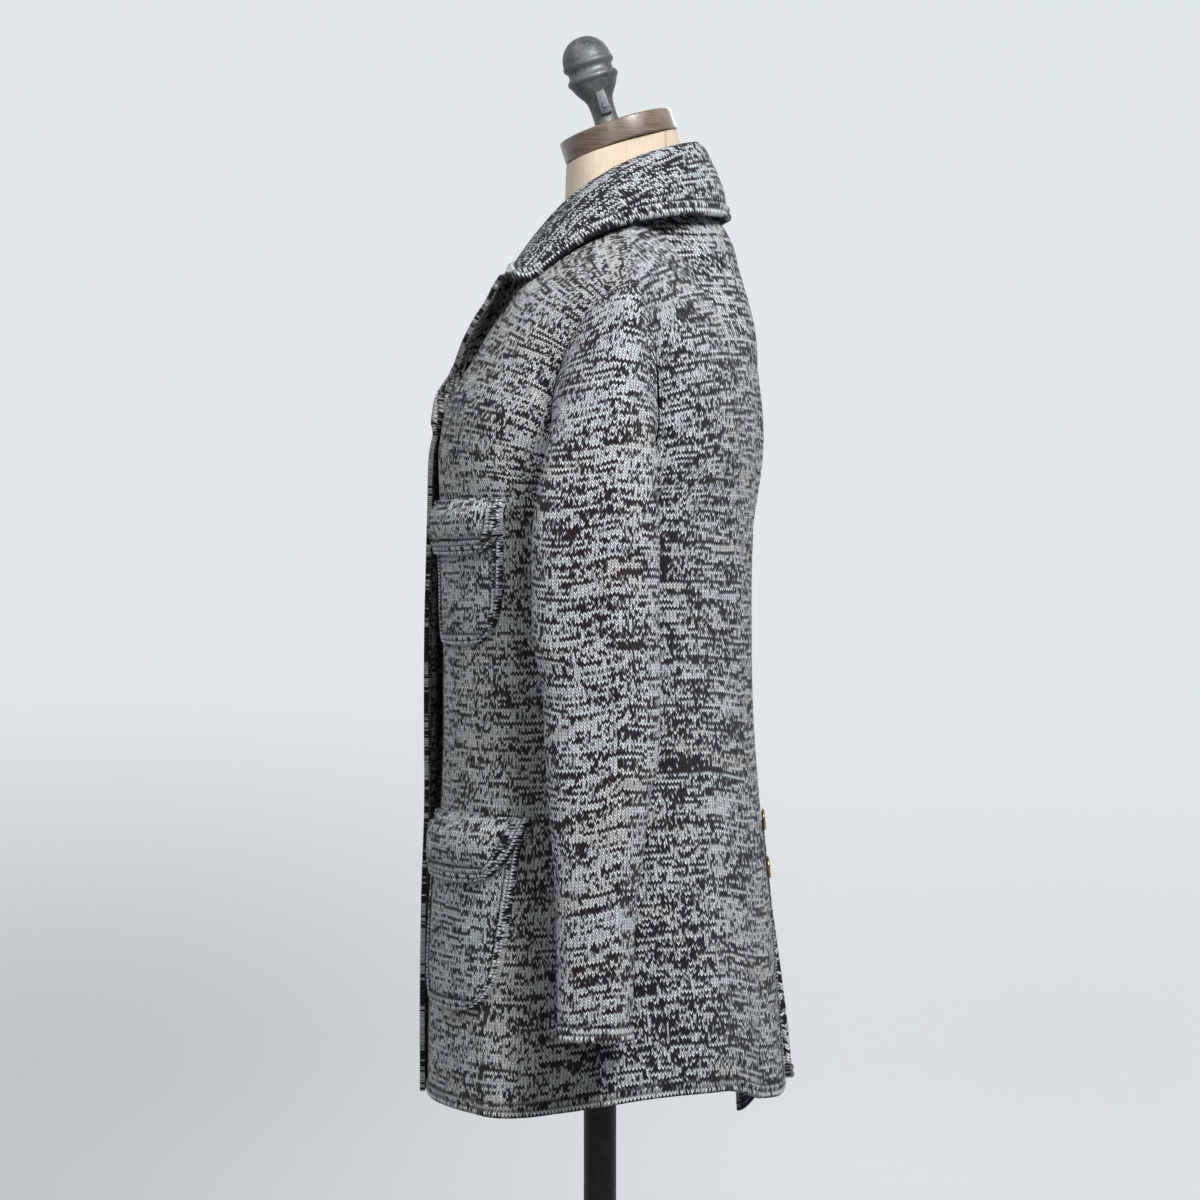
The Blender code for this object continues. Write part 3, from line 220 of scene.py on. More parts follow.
BACK_NECK = (
    # share of the back's top edge, x, y, z
    (0.00, 0.0000, 0.0950, 1.3900),
    (0.14, 0.0340, 0.0860, 1.3895),
    (0.28, 0.0570, 0.0600, 1.3870),
    (0.41, 0.0670, 0.0260, 1.3840),
)
LAPEL_WIDTH = (
    # share of the yoke, width of the strip outside the roll line
    (0.00, 0.0120), (0.24, 0.0120), (0.35, 0.0092), (0.41, 0.0100), (0.50, 0.0270), (0.58, 0.0400),
    (0.66, 0.0485), (0.74, 0.0545), (0.81, 0.0580), (1.00, 0.0600),
)
LAPEL_FOLD = (
    # share of the yoke, degrees that the strip is turned back
    (0.000, 0), (0.325, 0), (0.370, 50), (0.410, 105), (0.450, 150), (0.500, 168), (1.000, 168),
)
SLEEVE = (
    # height, middle x, half width, middle y, half depth
    (0.7110, 0.2310, 0.0225, -0.0043, 0.0296),
    (0.7360, 0.2300, 0.0225, -0.0040, 0.0300),
    (0.8100, 0.2275, 0.0245, -0.0032, 0.0318),
    (0.8610, 0.2245, 0.0265, -0.0015, 0.0365),
    (0.8950, 0.2225, 0.0280, -0.0010, 0.0402),
    (0.9320, 0.2200, 0.0290, 0.0016, 0.0450),
    (0.9900, 0.2185, 0.0300, 0.0008, 0.0472),
    (1.0340, 0.2180, 0.0310, -0.0032, 0.0510),
    (1.1000, 0.2185, 0.0310, -0.0035, 0.0510),
)
SLEEVE_RIDGE = (
    # height, y of the pressed ridge down the outside of the sleeve
    (0.711, 0.0095), (0.800, 0.0135), (0.900, 0.0159), (1.000, 0.0150), (1.100, 0.0110),
)
COLLAR_FOLD = (
    # share of the half collar from the back, x, y, z of the fold
    (0.00, 0.0000, 0.0850, 1.4500),
    (0.14, 0.0300, 0.0790, 1.4480),
    (0.28, 0.0500, 0.0560, 1.4410),
    (0.42, 0.0600, 0.0260, 1.4300),
    (0.56, 0.0615, -0.0050, 1.4130),
    (0.70, 0.0590, -0.0300, 1.3940),
    (0.84, 0.0540, -0.0510, 1.3715),
    (1.00, 0.0475, -0.0690, 1.3485),
)
COLLAR_EDGE = (
    # share of the half collar from the back, x, y, z of the free edge
    (0.00, 0.0000, 0.1115, 1.3840),
    (0.14, 0.0480, 0.1000, 1.3830),
    (0.28, 0.0860, 0.0660, 1.3800),
    (0.42, 0.1030, 0.0270, 1.3725),
    (0.56, 0.1080, -0.0090, 1.3595),
    (0.70, 0.1060, -0.0340, 1.3430),
    (0.84, 0.1030, -0.0550, 1.3270),
    (0.94, 0.1000, -0.0690, 1.3245),
    (1.00, 0.0945, -0.0790, 1.3305),
)
FOLDS = (
    # panel, course from, course to, wale of the middle, half width, how far it stands out
    ("front", 0.236, 0.620, 0.204, 0.036, -0.0050),
    ("front", -0.140, 0.100, 0.172, 0.026, 0.0050),
    ("front", -0.140, 0.120, 0.222, 0.022, -0.0050),
    ("back", -0.100, 0.230, 0.168, 0.036, 0.0050),
    ("back", -0.120, 0.210, 0.100, 0.030, -0.0050),
    ("back", 0.300, 0.560, 0.150, 0.045, -0.0035),
    ("back_right", 0.440, 0.690, 0.048, 0.042, 0.0110),
)
CREASES = (
    # piece, course, wale, half length, half width, degrees up from level, how far it stands out
    ("front", 0.560, 0.215, 0.060, 0.012, 62, -0.0016),
    ("front", 0.520, 0.190, 0.070, 0.014, 48, 0.0012),
    ("front", 0.430, 0.225, 0.060, 0.010, 75, -0.0012),
    ("front", 0.340, 0.120, 0.085, 0.020, 4, 0.0009),
    ("front", 0.290, 0.170, 0.070, 0.016, -12, -0.0010),
    ("front", 0.120, 0.215, 0.090, 0.012, 84, 0.0014),
    ("back", 0.560, 0.215, 0.070, 0.012, 118, -0.0016),
    ("back", 0.500, 0.180, 0.085, 0.016, 128, 0.0013),
    ("back", 0.400, 0.130, 0.100, 0.022, 97, -0.0012),
    ("back", 0.330, 0.200, 0.090, 0.016, 82, 0.0012),
    ("back", 0.180, 0.060, 0.100, 0.020, 95, 0.0012),
    ("back", 0.090, 0.210, 0.080, 0.014, 88, -0.0014),
    ("sleeve", 0.330, -0.030, 0.040, 0.012, 18, -0.0018),
    ("sleeve", 0.300, -0.020, 0.045, 0.012, -8, 0.0014),
    ("sleeve", 0.265, -0.035, 0.040, 0.011, 14, -0.0014),
    ("sleeve", 0.375, 0.030, 0.040, 0.012, -16, -0.0016),
    ("sleeve", 0.210, 0.020, 0.045, 0.014, -10, 0.0012),
    ("sleeve", 0.140, -0.020, 0.050, 0.016, 12, -0.0011),
    ("sleeve", 0.460, -0.040, 0.050, 0.014, 70, 0.0013),
    ("sleeve", 0.520, 0.045, 0.060, 0.014, 108, -0.0014),
)
POCKETS = (
    # name, wale from, wale to, course of the top, course of the bottom, taper, corner radius
    ("chest_pocket", 0.042, 0.173, 0.498, 0.388, 0.06, 0.036),
    ("hip_pocket", 0.040, 0.192, 0.231, 0.084, 0.16, 0.045),
    ("chest_flap", 0.039, 0.177, 0.511, 0.464, 0.04, 0.031),
    ("hip_flap", 0.037, 0.198, 0.246, 0.190, 0.15, 0.040),
)
FLAP_LIFTS = (
    # share of the flap's height from its top, clearance under it
    (0.00, LAID), (0.09, 0.0012), (0.25, 0.0056), (0.65, 0.0060), (1.00, 0.0054),
)
FORM = (
    # height, half width, front depth, back depth, how far the front is lower than the back
    (0.700, 0.134, 0.086, 0.078, 0.0),
    (0.712, 0.145, 0.096, 0.090, 0.0),
    (0.800, 0.148, 0.100, 0.104, 0.0),
    (0.900, 0.136, 0.096, 0.102, 0.0),
    (1.000, 0.118, 0.088, 0.094, 0.0),
    (1.080, 0.124, 0.094, 0.098, 0.0),
    (1.160, 0.134, 0.102, 0.104, 0.0),
    (1.230, 0.146, 0.092, 0.110, 0.0),
    (1.280, 0.158, 0.073, 0.112, 0.0),
    (1.315, 0.158, 0.050, 0.108, 0.0),
    (1.342, 0.126, 0.029, 0.094, 0.0),
    (1.362, 0.086, 0.023, 0.084, 0.004),
    (1.382, 0.0570, 0.0270, 0.0820, 0.010),
    (1.405, 0.0510, 0.0300, 0.0760, 0.020),
    (1.4455, 0.0495, 0.0290, 0.0660, 0.0315),
)
FLAP_PUFF = 0.0058
PUFF_REACH = 0.030
POCKET_PUFF = 0.0006
EDGE_ROLL = 0.0036
EDGE_THIN = 0.25                # thickness at the very edge, as a share of the cloth's
CORNER_CUT = 0.97               # how far a rounded corner reaches round, and how much it takes in
CORNER_WIDTH = 0.9
CORNER_BOW = 0.05
POCKET_OFFSET = (0.0011, 0.0017)  # wales and courses by which a pocket's stitches miss the front's
FORM_SIDES = 96
FORM_CLEARANCE = 0.0012
NECK_LEAN = math.radians(17.8)
NECK_CAP_MIDDLE = Vector((0.0, 0.0158, 1.4557))
NECK_CAP_RADIUS = 0.0500
NECK_CAP_THICKNESS = 0.0190
NECK_CAP_ROUNDING = 0.0018
FINIAL_AT = -0.0055
FINIAL = (
    # height up the finial, radius
    (0.0000, 0.0112), (0.0030, 0.0109), (0.0100, 0.0104), (0.0180, 0.0106), (0.0230, 0.0110),
    (0.0255, 0.0117), (0.0280, 0.0130), (0.0310, 0.0150), (0.0340, 0.0170), (0.0370, 0.0187),
    (0.0400, 0.0201), (0.0416, 0.0207), (0.0420, 0.0214), (0.0433, 0.0222), (0.0448, 0.0223),
    (0.0462, 0.0219), (0.0474, 0.0206), (0.0487, 0.0198), (0.0510, 0.0194), (0.0530, 0.0195),
    (0.0542, 0.0203), (0.0553, 0.0215), (0.0567, 0.0222), (0.0583, 0.0223), (0.0597, 0.0218),
    (0.0606, 0.0213), (0.0640, 0.0210), (0.0680, 0.0200), (0.0715, 0.0183), (0.0745, 0.0161),
    (0.0772, 0.0133), (0.0793, 0.0101), (0.0807, 0.0068), (0.0815, 0.0030), (0.0817, 0.0),
)
LUG_SIZE = (0.0075, 0.0106, 0.0250)
LUG_AT = (0.0113, 0.0016, 0.0232)                        # from the finial's seat
PIN_RADIUS = 0.0020
PIN_AT = (0.0151, 0.0014, 0.0172)
FOOT_THICKNESS = 0.022
FOOT_SIDE = (
    # height, radius
    (0.0, 0.0), (0.0, 0.188), (0.0008, 0.1894), (0.003, 0.190), (0.010, 0.190), (0.0118, 0.1892),
    (0.0132, 0.1870), (0.0143, 0.1820), (0.0166, 0.130), (0.0192, 0.085), (0.0212, 0.055),
    (0.0219, 0.047), (FOOT_THICKNESS, 0.043), (FOOT_THICKNESS, 0.0),
)
POLE_RADIUS = 0.014
BUTTON_SIDE = (
    # height, radius: a rounded rim, a groove and a low dome
    (0.0, 0.0), (0.0, 0.0064), (0.0005, 0.0081), (0.0010, 0.0091), (0.0016, 0.0095),
    (0.0021, 0.0094), (0.0026, 0.0089), (0.0029, 0.0082), (0.0028, 0.0075), (0.0022, 0.0069),
    (0.0018, 0.0064), (0.0019, 0.0059), (0.0023, 0.0048), (0.0026, 0.0034), (0.0028, 0.0018),
    (0.0029, 0.0),
)
BUTTON_RADIUS = 0.0095
BUTTON_GAP = 0.0006
FRONT_BUTTONS = (0.515, 0.430, 0.345, 0.260, 0.175)      # courses
FRONT_BUTTON_WALE = 0.0040
VENT_BUTTONS = (0.232, 0.190)                            # courses
VENT_BUTTON_WALE = 0.0220

# ---------------------------------------------------------------- the knit, metres
STITCH_WIDTH = 0.0030
STITCH_HEIGHT = 0.0025
LEG_LEAN = 0.95                 # how far a stitch's legs lean, in courses
BORDER_WALES = 4000.0           # keeps a border's stitches off the plain knit's
GROOVE_BEHIND = 0.0006          # painted shadow in the groove behind a border, and how wide it fades
GROOVE_WIDTH = 0.0024


# ---------------------------------------------------------------- small helpers
def hermite(part, start, end, leave, arrive):
    """Points on a curve that sets off one way and arrives another."""
    square = part * part
    cube = square * part
    return (start * (2 * cube - 3 * square + 1) + end * (3 * square - 2 * cube)
            + leave * (cube - 2 * square + part) + arrive * (cube - square))


def smooth(table, at):
    """The other columns of a table at a place along its first column, on a smooth curve."""
    table = np.asarray(table, float)
    keys = table[:, 0]
    values = table[:, 1:]
    secants = np.diff(values, axis=0) / np.diff(keys)[:, None]
    slopes = np.concatenate((secants[:1], secants, secants[-1:]))
    before = slopes[:-1]
    after = slopes[1:]
    limit = 3 * np.minimum(np.abs(before), np.abs(after))
    slopes = np.where(before * after > 0, np.clip((before + after) / 2, -limit, limit), 0.0)
    at = np.clip(np.asarray(at, float), keys[0], keys[-1])
    low = np.clip(np.searchsorted(keys, at) - 1, 0, len(keys) - 2)
    span = (keys[low + 1] - keys[low])[..., None]
    part = (at[..., None] - keys[low][..., None]) / span
    return hermite(part, values[low], values[low + 1], span * slopes[low], span * slopes[low + 1])


def smooth_value(table, at):
    """The second column of a table at a place along its first column."""
    return smooth([row[:2] for row in table], at)[..., 0]


def ease(part):
    """0 to 1 with a soft start and end."""
    part = np.clip(part, 0.0, 1.0)
    return part * part * (3 - 2 * part)


def bump(offset):
    """1 in the middle, 0 beyond one half width."""
    return ease(1 - np.abs(offset))


def unit(vectors):
    """The same directions with length 1."""
    length = np.linalg.norm(vectors, axis=-1, keepdims=True)
    return vectors / np.maximum(length, 1e-12)


def turn(vector, axis, angle):
    """A vector turned about a unit axis."""
    cosine = math.cos(angle)
    sine = math.sin(angle)
    along = axis * float(np.dot(axis, vector)) * (1 - cosine)
    return vector * cosine + np.cross(axis, vector) * sine + along


def spaced(*marks, end):
    """Values from the first mark to the end; a mark is (value, step up to the next value)."""
    values = []
    stops = [value for value, _ in marks[1:]] + [end]
    for (value, step), stop in zip(marks, stops):
        count = max(1, math.ceil((stop - value) / step - 1e-9))
        values.extend(np.linspace(value, stop, count, endpoint=False))
    return np.array(values + [end])


def panel_courses(yoke_marks, *marks):
    """Rows of a body panel: fine ones in the hem's border, then at the marks, then in the yoke."""
    lower = spaced((0.0, FINE_ROW), (PAST_BORDER, ROW), *marks, end=LOWER_COURSES)
    return np.concatenate((lower, LOWER_COURSES + YOKE_COURSES * spaced(*yoke_marks, end=1.0)[1:]))


def yoke_share(course):
    """How far up the yoke a course is, from the underarm to the shoulder."""
    return np.clip((course - LOWER_COURSES) / YOKE_COURSES, 0, 1)


def mirrored(points, side):
    """Points of the wearer's left taken over to the given side."""
    return points * np.array((side, 1.0, 1.0))


def normals(points, closed=False):
    """Directions away from a grid, along its rows crossed with its columns."""
    if closed:
        padded = np.concatenate((points[:, -1:], points, points[:, :1]), axis=1)
        side = np.gradient(padded, axis=1)[:, 1:-1]
    else:
        side = np.gradient(points, axis=1)
    return unit(np.cross(side, np.gradient(points, axis=0)))


def run_along(points, axis):
    """Distance along a grid's rows (axis 1) or columns (axis 0), from its first point."""
    steps = np.linalg.norm(np.diff(points, axis=axis), axis=-1)
    start = np.zeros_like(np.take(steps, [0], axis=axis))
    return np.concatenate((start, np.cumsum(steps, axis=axis)), axis=axis)


def counted(points, wales, before=0):
    """Distances across and up a panel; before is the count of columns ahead of its wales."""
    middle = len(wales) // 2
    column = before + middle
    along = run_along(points, 1)
    across = along - along[:, column:column + 1] + wales[middle]
    return across, run_along(points[:, column:column + 1], 0) + 0 * across


def panel_maps(across, up, from_hem, from_edge):
    """A panel's stitch map, and its border map along the hem or the edge, whichever is nearer."""
    run = np.where(from_hem < from_edge, across, up)
    return (np.stack((across, up), axis=-1),
            np.stack((run, np.minimum(from_hem, from_edge)), axis=-1))


# ---------------------------------------------------------------- the body of the cardigan
def ring(height, angle):
    """Outer face of the body: angle 0 is centre front, a quarter turn the side, half the back."""
    width, front_depth, back_depth = np.moveaxis(smooth(BODY, height), -1, 0)
    sine = np.sin(angle)
    cosine = np.cos(angle)
    x = width * np.sign(sine) * np.abs(sine) ** SQUARENESS
    depth = np.where(cosine > 0, front_depth, back_depth)
    y = -depth * np.sign(cosine) * np.abs(cosine) ** SQUARENESS
    return np.stack(np.broadcast_arrays(x, y, height), axis=-1)


def quarter(is_back):
    """Distances round the body from the centre line to the side, and the angle at each."""
    angles = np.linspace(0, math.pi / 2, 400)
    path = ring(np.full(400, GIRTH_HEIGHT), math.pi - angles if is_back else angles)
    return run_along(path, 0), angles


FRONT_RUN, FRONT_ANGLES = quarter(False)
BACK_RUN, BACK_ANGLES = quarter(True)
FRONT_WIDTH = FRONT_RUN[-1] - SEAM / 2
BACK_WIDTH = BACK_RUN[-1] - SEAM / 2
SHOULDER_NECK = np.array(FRONT_OPENING[-1][1:])
SHOULDER_TIP = np.array(FRONT_ARMHOLE[-1][1:])


def lower_body(course, angle):
    """The body below the underarm, between the waved hem and the underarm ring."""
    hem = smooth_value(HEM, np.degrees(angle))
    share = np.clip(course / LOWER_COURSES, 0, 1)
    return ring(hem + (UNDERARM - hem) * share, angle)


def patch(share, along, hold, bottom, top, inner, outer):
    """A surface across four edges; hold says how long it keeps the shape of its bottom edge."""
    rise = (share ** hold)[..., None]
    along = (np.clip(along, 0, 1) ** ARMHOLE_HOLD)[..., None]
    corners = ((1 - along) * (1 - rise) * bottom[0] + along * (1 - rise) * bottom[1]
               + (1 - along) * rise * top[0] + along * rise * top[1])
    return (1 - rise) * bottom[2] + rise * top[2] + (1 - along) * inner + along * outer - corners


def relief(piece, course, wale):
    """How far the soft folds and creases of a piece stand out at each point."""
    total = np.zeros(np.broadcast(course, wale).shape)
    for where, start, end, middle, half, rise in FOLDS:
        if piece.startswith(where):
            length = bump((course - (start + end) / 2) / ((end - start) / 2))
            total = total + rise * length * bump((wale - middle) / half)
    for where, at_course, at_wale, length, half, degrees, rise in CREASES:
        if piece.startswith(where):
            lean = math.radians(degrees)
            up = course - at_course
            side = wale - at_wale
            along = side * math.cos(lean) + up * math.sin(lean)
            across = up * math.cos(lean) - side * math.sin(lean)
            total = total + rise * bump(along / length) * bump(across / half)
    return total


def opened(share, over):
    """Share of the yoke at which to read the lapel's tables: the upper front opens lower."""
    return share + (EARLY_OPENING * bump((share - 0.28) / 0.40) if over else 0.0)


def opening(share, over):
    """The roll line, then the neckline, of one front."""
    line = smooth(FRONT_OPENING, share)
    line[..., 0] = smooth(FRONT_OPENING, opened(share, over))[..., 0]
    return line


def body_panel(course, angle, along, ends, hold, top, inner, outer):
    """A panel of the body: its ring form below the underarm, then a patch between its edges."""
    share = yoke_share(course)
    bottom = (*ring(np.full(2, UNDERARM), np.array(ends)),
              ring(np.full_like(angle, UNDERARM), angle))
    upper = patch(share, along, hold, bottom, top, inner(share), outer(share))
    return np.where(course[..., None] > LOWER_COURSES, upper, lower_body(course, angle))


def front_base(course, wale, over=False):
    """Front panel, from the roll line to the side seam, without its soft folds."""
    course, wale = np.broadcast_arrays(np.asarray(course, float), np.asarray(wale, float))
    angle = np.sign(wale) * np.interp(np.abs(wale), FRONT_RUN, FRONT_ANGLES)
    along = (wale - ROLL_WALE) / (FRONT_WIDTH - ROLL_WALE)
    ends = np.interp((-ROLL_WALE, FRONT_WIDTH), FRONT_RUN, FRONT_ANGLES) * np.array((-1, 1))
    seam = SHOULDER_NECK + (SHOULDER_TIP - SHOULDER_NECK) * along[..., None]
    return body_panel(course, angle, along, ends, FRONT_HOLD, (SHOULDER_NECK, SHOULDER_TIP, seam),
                      lambda share: opening(share, over),
                      lambda share: smooth(FRONT_ARMHOLE, share))


def back_base(course, wale):
    """Back panel, from the centre seam to the side seam, without its soft folds."""
    course, wale = np.broadcast_arrays(np.asarray(course, float), np.asarray(wale, float))
    angle = math.pi - np.interp(wale, BACK_RUN, BACK_ANGLES)
    along = wale / BACK_WIDTH
    past = np.clip((along - BACK_NECK_SHARE) / (1 - BACK_NECK_SHARE), 0, 1)[..., None]
    seam = np.where(past > 0, SHOULDER_NECK + (SHOULDER_TIP - SHOULDER_NECK) * past,
                    smooth(BACK_NECK, along))
    top = (np.array(BACK_NECK[0][1:]), SHOULDER_TIP, seam)
    return body_panel(course, angle, along, (math.pi, math.pi / 2), BACK_HOLD, top,
                      lambda share: smooth(BACK_CENTRE, share),
                      lambda share: smooth(BACK_ARMHOLE, share))


def facing(surface, course, wale, outward):
    """Outward direction of a surface at each course and wale."""
    step = 0.0015
    course = np.clip(course, step, LOWER_COURSES + YOKE_COURSES - step)
    up = surface(course + step, wale) - surface(course - step, wale)
    side = surface(course, wale + step) - surface(course, wale - step)
    return unit(np.cross(side, up)) * outward


def lap_lift(course, wale, over):
    """How far the upper of the two fronts stands off near its edge."""
    if not over:
        return np.zeros(np.broadcast(course, wale).shape)
    lift, curl = np.moveaxis(smooth(LAP_LIFT, course), -1, 0)
    near = ease(1 - (wale - BUTTON_LAP - LAP_PAST) / LAP_FADE)
    return lift * near + curl * ease((CURL_FROM - wale) / CURL_REACH)


def front_surface(course, wale, over=False, piece="front"):
    """Outer face of a front from its roll line to the side seam."""
    out = relief(piece, course, wale) + lap_lift(course, wale, over)
    away = facing(lambda c, w: front_base(c, w, over), course, wale, 1)
    return front_base(course, wale, over) + away * out[..., None]


def back_surface(course, wale, node):
    """Outer face of a back from the centre seam to the side seam."""
    away = facing(back_base, course, np.clip(wale, OFF_SEAM, None), -1)
    return back_base(course, wale) + away * relief(node, course, wale)[..., None]


def lapel_strip(start, inward, axis, angle, distances):
    """Points across the strip outside the roll line, turned back about the roll by an angle."""
    place = start.copy()
    points = []
    run = 0.0
    step = 0.0002
    rolled = max(LAPEL_ROLL * angle, 1e-9)
    for distance in distances:
        while run < distance - step / 2:
            heading = turn(inward, axis, angle * min(1.0, (run + step / 2) / rolled))
            place = place + heading * step
            run += step
        points.append(place)
    return np.array(points)


def seam_dip(distance):
    """The shallow groove along a sewn seam."""
    return SEAM_DIP * np.exp(-(distance / SEAM_DIP_REACH) ** 2)


def border(distance, width, ribs=2):
    """Height of the knitted border: rounded ribs along the edge and a groove behind them."""
    ribbed = TRIM_LOW + (1 - TRIM_LOW) * np.abs(np.sin(math.pi * ribs * distance / width))
    groove = GROOVE * np.exp(-((distance - width - GROOVE_AT) / GROOVE_REACH) ** 2)
    return np.where(distance < width, ribbed, groove) * TRIM_RISE


# ---------------------------------------------------------------- making the pieces
def keep_mesh(name, mesh_data, sharp=55.0):
    """Turn a bmesh into an object at the origin, shaded smooth but for its sharp edges."""
    mesh = bpy.data.meshes.new(name)
    mesh_data.to_mesh(mesh)
    mesh_data.free()
    mesh.shade_smooth()
    mesh.set_sharp_from_angle(angle=math.radians(sharp))
    made = bpy.data.objects.new(name, mesh)
    bpy.context.scene.collection.objects.link(made)
    return made


def knit_piece(node, side, outer, inner, stitches, edges, keep=None, closed=False):
    """A shell between two grids of points, on one side of the body, with its two maps."""
    outer = mirrored(outer, side)
    inner = mirrored(inner, side)
    rows, columns = outer.shape[:2]
    if closed:
        outer, inner, stitches, edges = (np.concatenate((grid, grid[:, :1]), axis=1)
                                         for grid in (outer, inner, stitches, edges))
        stitches[:, -1, 0] = 2 * stitches[:, -2, 0] - stitches[:, -3, 0]
        columns += 1
    shell = bmesh.new()
    bmesh.ops.create_grid(shell, x_segments=columns - 1, y_segments=rows - 1, size=1)
    place = shell.verts.layers.int.new("place")
    for vert in shell.verts:
        column = round((vert.co.x + 1) / 2 * (columns - 1))
        row = round((vert.co.y + 1) / 2 * (rows - 1))
        vert[place] = row * columns + column
    if keep is not None:
        spare = []
        for face in shell.faces:
            corner = min(vert[place] for vert in face.verts)
            if not keep[corner // columns, corner % columns]:
                spare.append(face)
        bmesh.ops.delete(shell, geom=spare, context="FACES")
    stitch_map = shell.loops.layers.uv.new("Stitches")
    border_map = shell.loops.layers.uv.new("Border")
    knitted = sum(made.name.startswith("knit_") for made in bpy.data.objects)
    further = knitted * np.array((211 * STITCH_WIDTH, 307 * STITCH_HEIGHT))
    flat_stitches = stitches.reshape(-1, 2) + further
    flat_edges = edges.reshape(-1, 2)
    for face in shell.faces:
        for loop in face.loops:
            loop[stitch_map].uv = flat_stitches[loop.vert[place]]
            loop[border_map].uv = flat_edges[loop.vert[place]]
    front_faces = list(shell.faces)
    made = bmesh.ops.extrude_face_region(shell, geom=front_faces, use_keep_orig=True)
    raised = {item for item in made["geom"] if isinstance(item, bmesh.types.BMVert)}
    flat_outer = outer.reshape(-1, 3)
    flat_inner = inner.reshape(-1, 3)
    for vert in shell.verts:
        grid = flat_inner if vert in raised else flat_outer
        vert.co = grid[vert[place]]
    if closed:
        walls = [face for face in shell.faces
                 if len({vert[place] % columns for vert in face.verts}) == 1]
        bmesh.ops.delete(shell, geom=walls, context="FACES")
        bmesh.ops.remove_doubles(shell, verts=shell.verts, dist=1e-6)
    bmesh.ops.recalc_face_normals(shell, faces=shell.faces)
    shell.verts.layers.int.remove(place)
    return keep_mesh("knit_" + node, shell), node


def turned(name, profile, sides, place=(0, 0, 0), axis=(0, 0, 1), sharp=40.0):
    """A turned piece from rows of height and radius, standing on a place along an axis."""
    piece = bmesh.new()
    points = [piece.verts.new((radius, 0, height)) for height, radius in profile]
    edges = [piece.edges.new(pair) for pair in zip(points, points[1:])]
    bmesh.ops.spin(piece, geom=points + edges, cent=(0, 0, 0), axis=(0, 0, 1), angle=math.tau,
                   steps=sides, use_merge=True)
    bmesh.ops.remove_doubles(piece, verts=piece.verts, dist=1e-6)
    bmesh.ops.recalc_face_normals(piece, faces=piece.faces)
    stand_up(piece, place, axis)
    return keep_mesh(name, piece, sharp)


def stand_up(piece, place, axis):
    """Turn a piece's height to an axis and set it on its place."""
    turned_to = Vector((0, 0, 1)).rotation_difference(Vector(axis)).to_matrix()
    bmesh.ops.rotate(piece, verts=piece.verts, matrix=turned_to)
    bmesh.ops.translate(piece, verts=piece.verts, vec=Vector(place))


# ---------------------------------------------------------------- fronts
def front(side, over):
    """One front with its folded-out lapel."""
    courses = panel_courses(((0.0, 0.020), (0.26, 0.009), (0.52, 0.018), (GORGE, 0.018)))
    wales = spaced((ROLL_WALE, 0.0028), (BUTTON_LAP, COLUMN), (FRONT_WIDTH - BY_SEAM, FINE_COLUMN),
                   end=FRONT_WIDTH)
    main = front_surface(courses[:, None], wales[None, :], over)
    roll = main[:, 0]
    yoke = yoke_share(courses)
    axes = unit(np.gradient(roll, axis=0))
    aims = front_surface(courses, np.full(len(courses), ROLL_WALE + LAPEL_AIM), over)
    widths = smooth_value(LAPEL_WIDTH, opened(yoke, over))
    folded = np.radians(smooth_value(LAPEL_FOLD, opened(yoke, over)))
    strip = [lapel_strip(*row)[::-1] for row in zip(roll, unit(roll - aims), axes, folded,
                                                    widths[:, None] * LAPEL_COLUMNS)]
    points = np.concatenate((np.array(strip), main), axis=1)
    count = len(LAPEL_COLUMNS)
    keep = np.ones((len(courses) - 1, points.shape[1] - 1), bool)
    keep[yoke[:-1] >= GORGE - TINY, :count] = False

    away = normals(points)
    away[-1] = away[-2]
    distance = np.concatenate((widths[:, None] * (1 - LAPEL_COLUMNS[::-1]),
                               widths[:, None] + wales - ROLL_WALE), axis=1)
    distance = np.where(yoke[:, None] > GORGE + TINY, FAR, distance)
    from_hem = courses[:, None]
    turned_back = (folded[:, None] > LAPEL_TURNED) & (np.arange(points.shape[1]) < count)
    rise = np.maximum(border(distance, EDGE_TRIM), border(from_hem, HEM_TRIM))
    from_side = np.clip(FRONT_WIDTH - (distance - widths[:, None] + ROLL_WALE), 0, 1)
    dip = seam_dip(from_side) + seam_dip((1 - yoke[:, None]) * YOKE_COURSES)
    outer = points + away * (np.where(turned_back, 0, rise) + dip)[..., None]
    inner = points - away * (CLOTH + np.where(turned_back, rise, 0))[..., None]
    inner[-1] = outer[-1] - away[-1] * CLOTH
    maps = panel_maps(*counted(points, wales, count), from_hem, distance)
    return knit_piece("front_left" if side > 0 else "front_right", side, outer, inner, *maps, keep)


